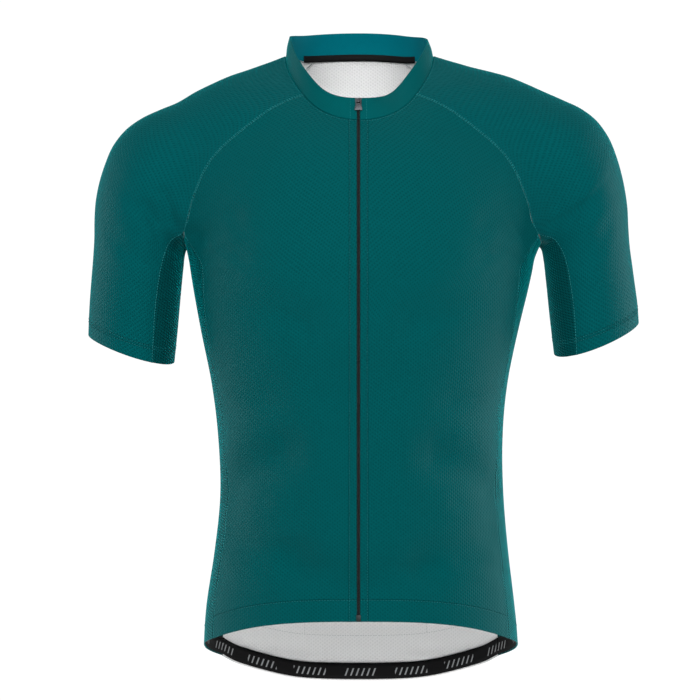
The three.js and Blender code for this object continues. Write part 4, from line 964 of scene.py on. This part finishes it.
POCKET_DIVIDERS = (4, 15)  # columns of the pocket panel where it is stitched through
POCKET_ON_BACK = {"columns": (1, 5, 16, 21), "top": 22, "bottom": 29}
pocket = panel_grid("rear_pockets", 9, 5, (), {})
pocket_uv = straight_uv(pocket, "upright")
pocket_edge = np.stack([pocket["distances"]["first"], pocket["distances"]["top"]], axis=-1)
pocket_piece = sheet_mesh("rear_pocket_cloth", pocket["grid"], {"knit": pocket_uv, "edge": pocket_edge},
                          [MATERIALS["pocket"], MATERIALS["inside"]])
thicken(pocket_piece, CLOTH_THICK, inner_slot=1)
dress(pocket_piece, "jersey", "knit_cloth", "rear_pockets")
POCKET_BAND_ROWS = (0.0002, 0.005, 0.012, 0.018)
pocket_band, _ = band_piece("rear_pocket_band",
                            [band_near(pocket, "top", POCKET_BAND_ROWS, [-CLOTH_THICK - 0.0001] * 4)],
                            POCKET_BAND_ROWS, "knit_cloth", MATERIALS["back"], 0.0007)


# Stitching

def column_line(panel, column, first=0, last=math.inf, inside=False):
    """A line down a panel at one of its coarse columns, between two of its coarse rows."""
    k = int(np.abs(panel["along"] - column).argmin())
    rows = (panel["down"] >= first) & (panel["down"] <= last)
    return turned_inside(panel["grid"][rows, k], panel["normals"][rows, k], inside)


def row_line(panel, row, first, last, inside=False):
    k = int(np.abs(panel["down"] - row).argmin())
    columns = (panel["along"] >= first) & (panel["along"] <= last)
    return turned_inside(panel["grid"][k, columns], panel["normals"][k, columns], inside)


def turned_inside(line, normals, inside):
    if inside:
        return line - normals * (CLOTH_THICK + 0.0001), -normals
    return line, normals


def stitch_piece(name, lines, material, lift=0.00012):
    places, basis = stitched(lines, lift)
    piece = many(name, bead(STITCH["long"], STITCH["half"]), places, basis, material)
    dress(piece, "jersey", "knit_cloth")
    return piece


def near(node, edge, distance, keep=slice(None)):
    line, normals = line_near(PANELS[node], edge, distance)
    return line[keep], normals[keep]


top_lines = []
pale_lines = []
for side in ("left", "right"):
    front, sleeve, underarm, flank = (f"{kind}_{side}" for kind in ("front", "sleeve", "underarm", "side"))
    top_lines += [near(front, "bottom", 0.0230), near(front, ZIP_EDGES[front], 0.0068)]
    top_lines += [near(cloth, "bottom", high) for cloth in (sleeve, underarm) for high in (0.0178, 0.0146)]
    top_lines += [near(front, "top", 0.0018), near(sleeve, "top", 0.0018), near(flank, "bottom", 0.0205)]
    pale_lines += [near(front, SIDE_EDGES[front], 0.0006), near(sleeve, "first", 0.0007),
                   near(sleeve, "last", 0.0007), near(flank, "top", 0.0008)]
top_lines += [near("back", "top", 0.0018), near("back", "bottom", 0.0205)]
top_lines += [near("collar", edge, 0.0062) for edge in ("first", "last")]
pale_lines += [near("back", edge, 0.0007) for edge in ("first", "last")]
PANELS["pocket"] = pocket
top_lines += [near("pocket", edge, 0.0028) for edge in ("first", "last", "bottom")]
top_lines += [near("pocket", "top", POCKET_BAND_DEEP)]
top_lines += [column_line(pocket, column) for column in POCKET_DIVIDERS]
stitch_piece("topstitching", top_lines, MATERIALS["thread"])
stitch_piece("seam_stitching", pale_lines, MATERIALS["seam_thread"])

rows = POCKET_ON_BACK["top"], POCKET_ON_BACK["bottom"]
columns = POCKET_ON_BACK["columns"]
inside_lines = [column_line(PANELS["back"], column, *rows, inside=True) for column in columns]
inside_lines.append(row_line(PANELS["back"], rows[1], columns[0], columns[-1], inside=True))
stitch_piece("inside_stitching", inside_lines, MATERIALS["white_thread"])


# A pass over the panels, the pocket left out, that does nothing

for node, panel in PANELS.items():
    if node == "pocket":
        continue


# Floor, light and camera

CHEST = (0, 0, -0.05)
MIDDLE = (0, 0, -0.33)
LAMPS = (
    {"name": "key softbox", "at": (0, -2.3, 0.50), "size": (1.8, 0.8), "power": 50, "towards": CHEST},
    {"name": "high key", "at": (-0.3, -1.9, 2.1), "size": (1.6, 0.9), "power": 36, "towards": MIDDLE},
    {"name": "left rim", "at": (-2.3, 0.5, -0.2), "size": (0.8, 1.8), "power": 26, "towards": MIDDLE},
    {"name": "right rim", "at": (2.3, 0.5, -0.2), "size": (0.8, 1.8), "power": 40, "towards": MIDDLE},
    {"name": "left fill", "at": (-2.1, -1.6, 0.1), "size": (1.0, 1.6), "power": 9, "towards": MIDDLE},
    {"name": "right fill", "at": (2.1, -1.6, 0.1), "size": (1.0, 1.6), "power": 14, "towards": MIDDLE},
    {"name": "top light", "at": (0, 0.3, 2.1), "size": (1.2, 0.9), "power": 9, "towards": MIDDLE},
)
WORLD_LIGHT = 0.13  # on the jersey
WORLD_SEEN = 1.05  # behind it
FLOOR_GLOW = 0.75


def softbox(name, at, size, power, towards):
    light = bpy.data.lights.new(name, "AREA")
    light.shape = "RECTANGLE"
    light.size, light.size_y = size
    light.energy = power
    lamp = bpy.data.objects.new(name, light)
    lamp.location = at
    lamp.rotation_euler = (Vector(towards) - Vector(at)).to_track_quat("-Z", "Y").to_euler()
    bpy.context.scene.collection.objects.link(lamp)


def studio():
    made = bmesh.new()
    bmesh.ops.create_grid(made, x_segments=1, y_segments=1, size=FLOOR_HALF)
    mesh = bpy.data.meshes.new("floor")
    made.to_mesh(mesh)
    made.free()
    mesh.transform(Matrix.Translation((0, 0, FLOOR_Z)))
    floor = bpy.data.objects.new("floor", mesh)
    bpy.context.scene.collection.objects.link(floor)
    material, tree, shader = new_material("Pale floor", roughness=1.0, specular=0.0)
    shader.inputs["Base Color"].default_value = (0.9, 0.9, 0.9, 1)
    shader.inputs["Emission Color"].default_value = (1, 1, 1, 1)
    seen = tree.nodes.new("ShaderNodeLightPath")
    glow = math_node(tree, "MULTIPLY", seen.outputs["Is Camera Ray"], FLOOR_GLOW)
    tree.links.new(glow, shader.inputs["Emission Strength"])
    mesh.materials.append(material)
    world = bpy.data.worlds.new("studio")
    world.use_nodes = True
    bpy.context.scene.world = world
    tree = world.node_tree
    back = tree.nodes["Background"]
    path = tree.nodes.new("ShaderNodeLightPath")
    strength = tree.nodes.new("ShaderNodeMapRange")
    tree.links.new(path.outputs["Is Camera Ray"], strength.inputs["Value"])
    strength.inputs["To Min"].default_value = WORLD_LIGHT
    strength.inputs["To Max"].default_value = WORLD_SEEN
    tree.links.new(strength.outputs[0], back.inputs["Strength"])
    back.inputs["Color"].default_value = (1, 1, 1, 1)
    for lamp in LAMPS:
        softbox(**lamp)
    camera = bpy.data.cameras.new("photo camera")
    camera.sensor_width = SENSOR_MM
    camera.lens = SENSOR_MM * -CAMERA_AT[1] * 1000 / (PHOTO_PIXELS * PHOTO_MM_PER_PIXEL)
    camera.clip_end = 60
    eye = bpy.data.objects.new("photo camera", camera)
    eye.location = CAMERA_AT
    eye.rotation_euler = (math.pi / 2, 0, 0)
    bpy.context.scene.collection.objects.link(eye)
    bpy.context.scene.camera = eye
    bpy.context.scene.view_settings.view_transform = "Standard"


studio()
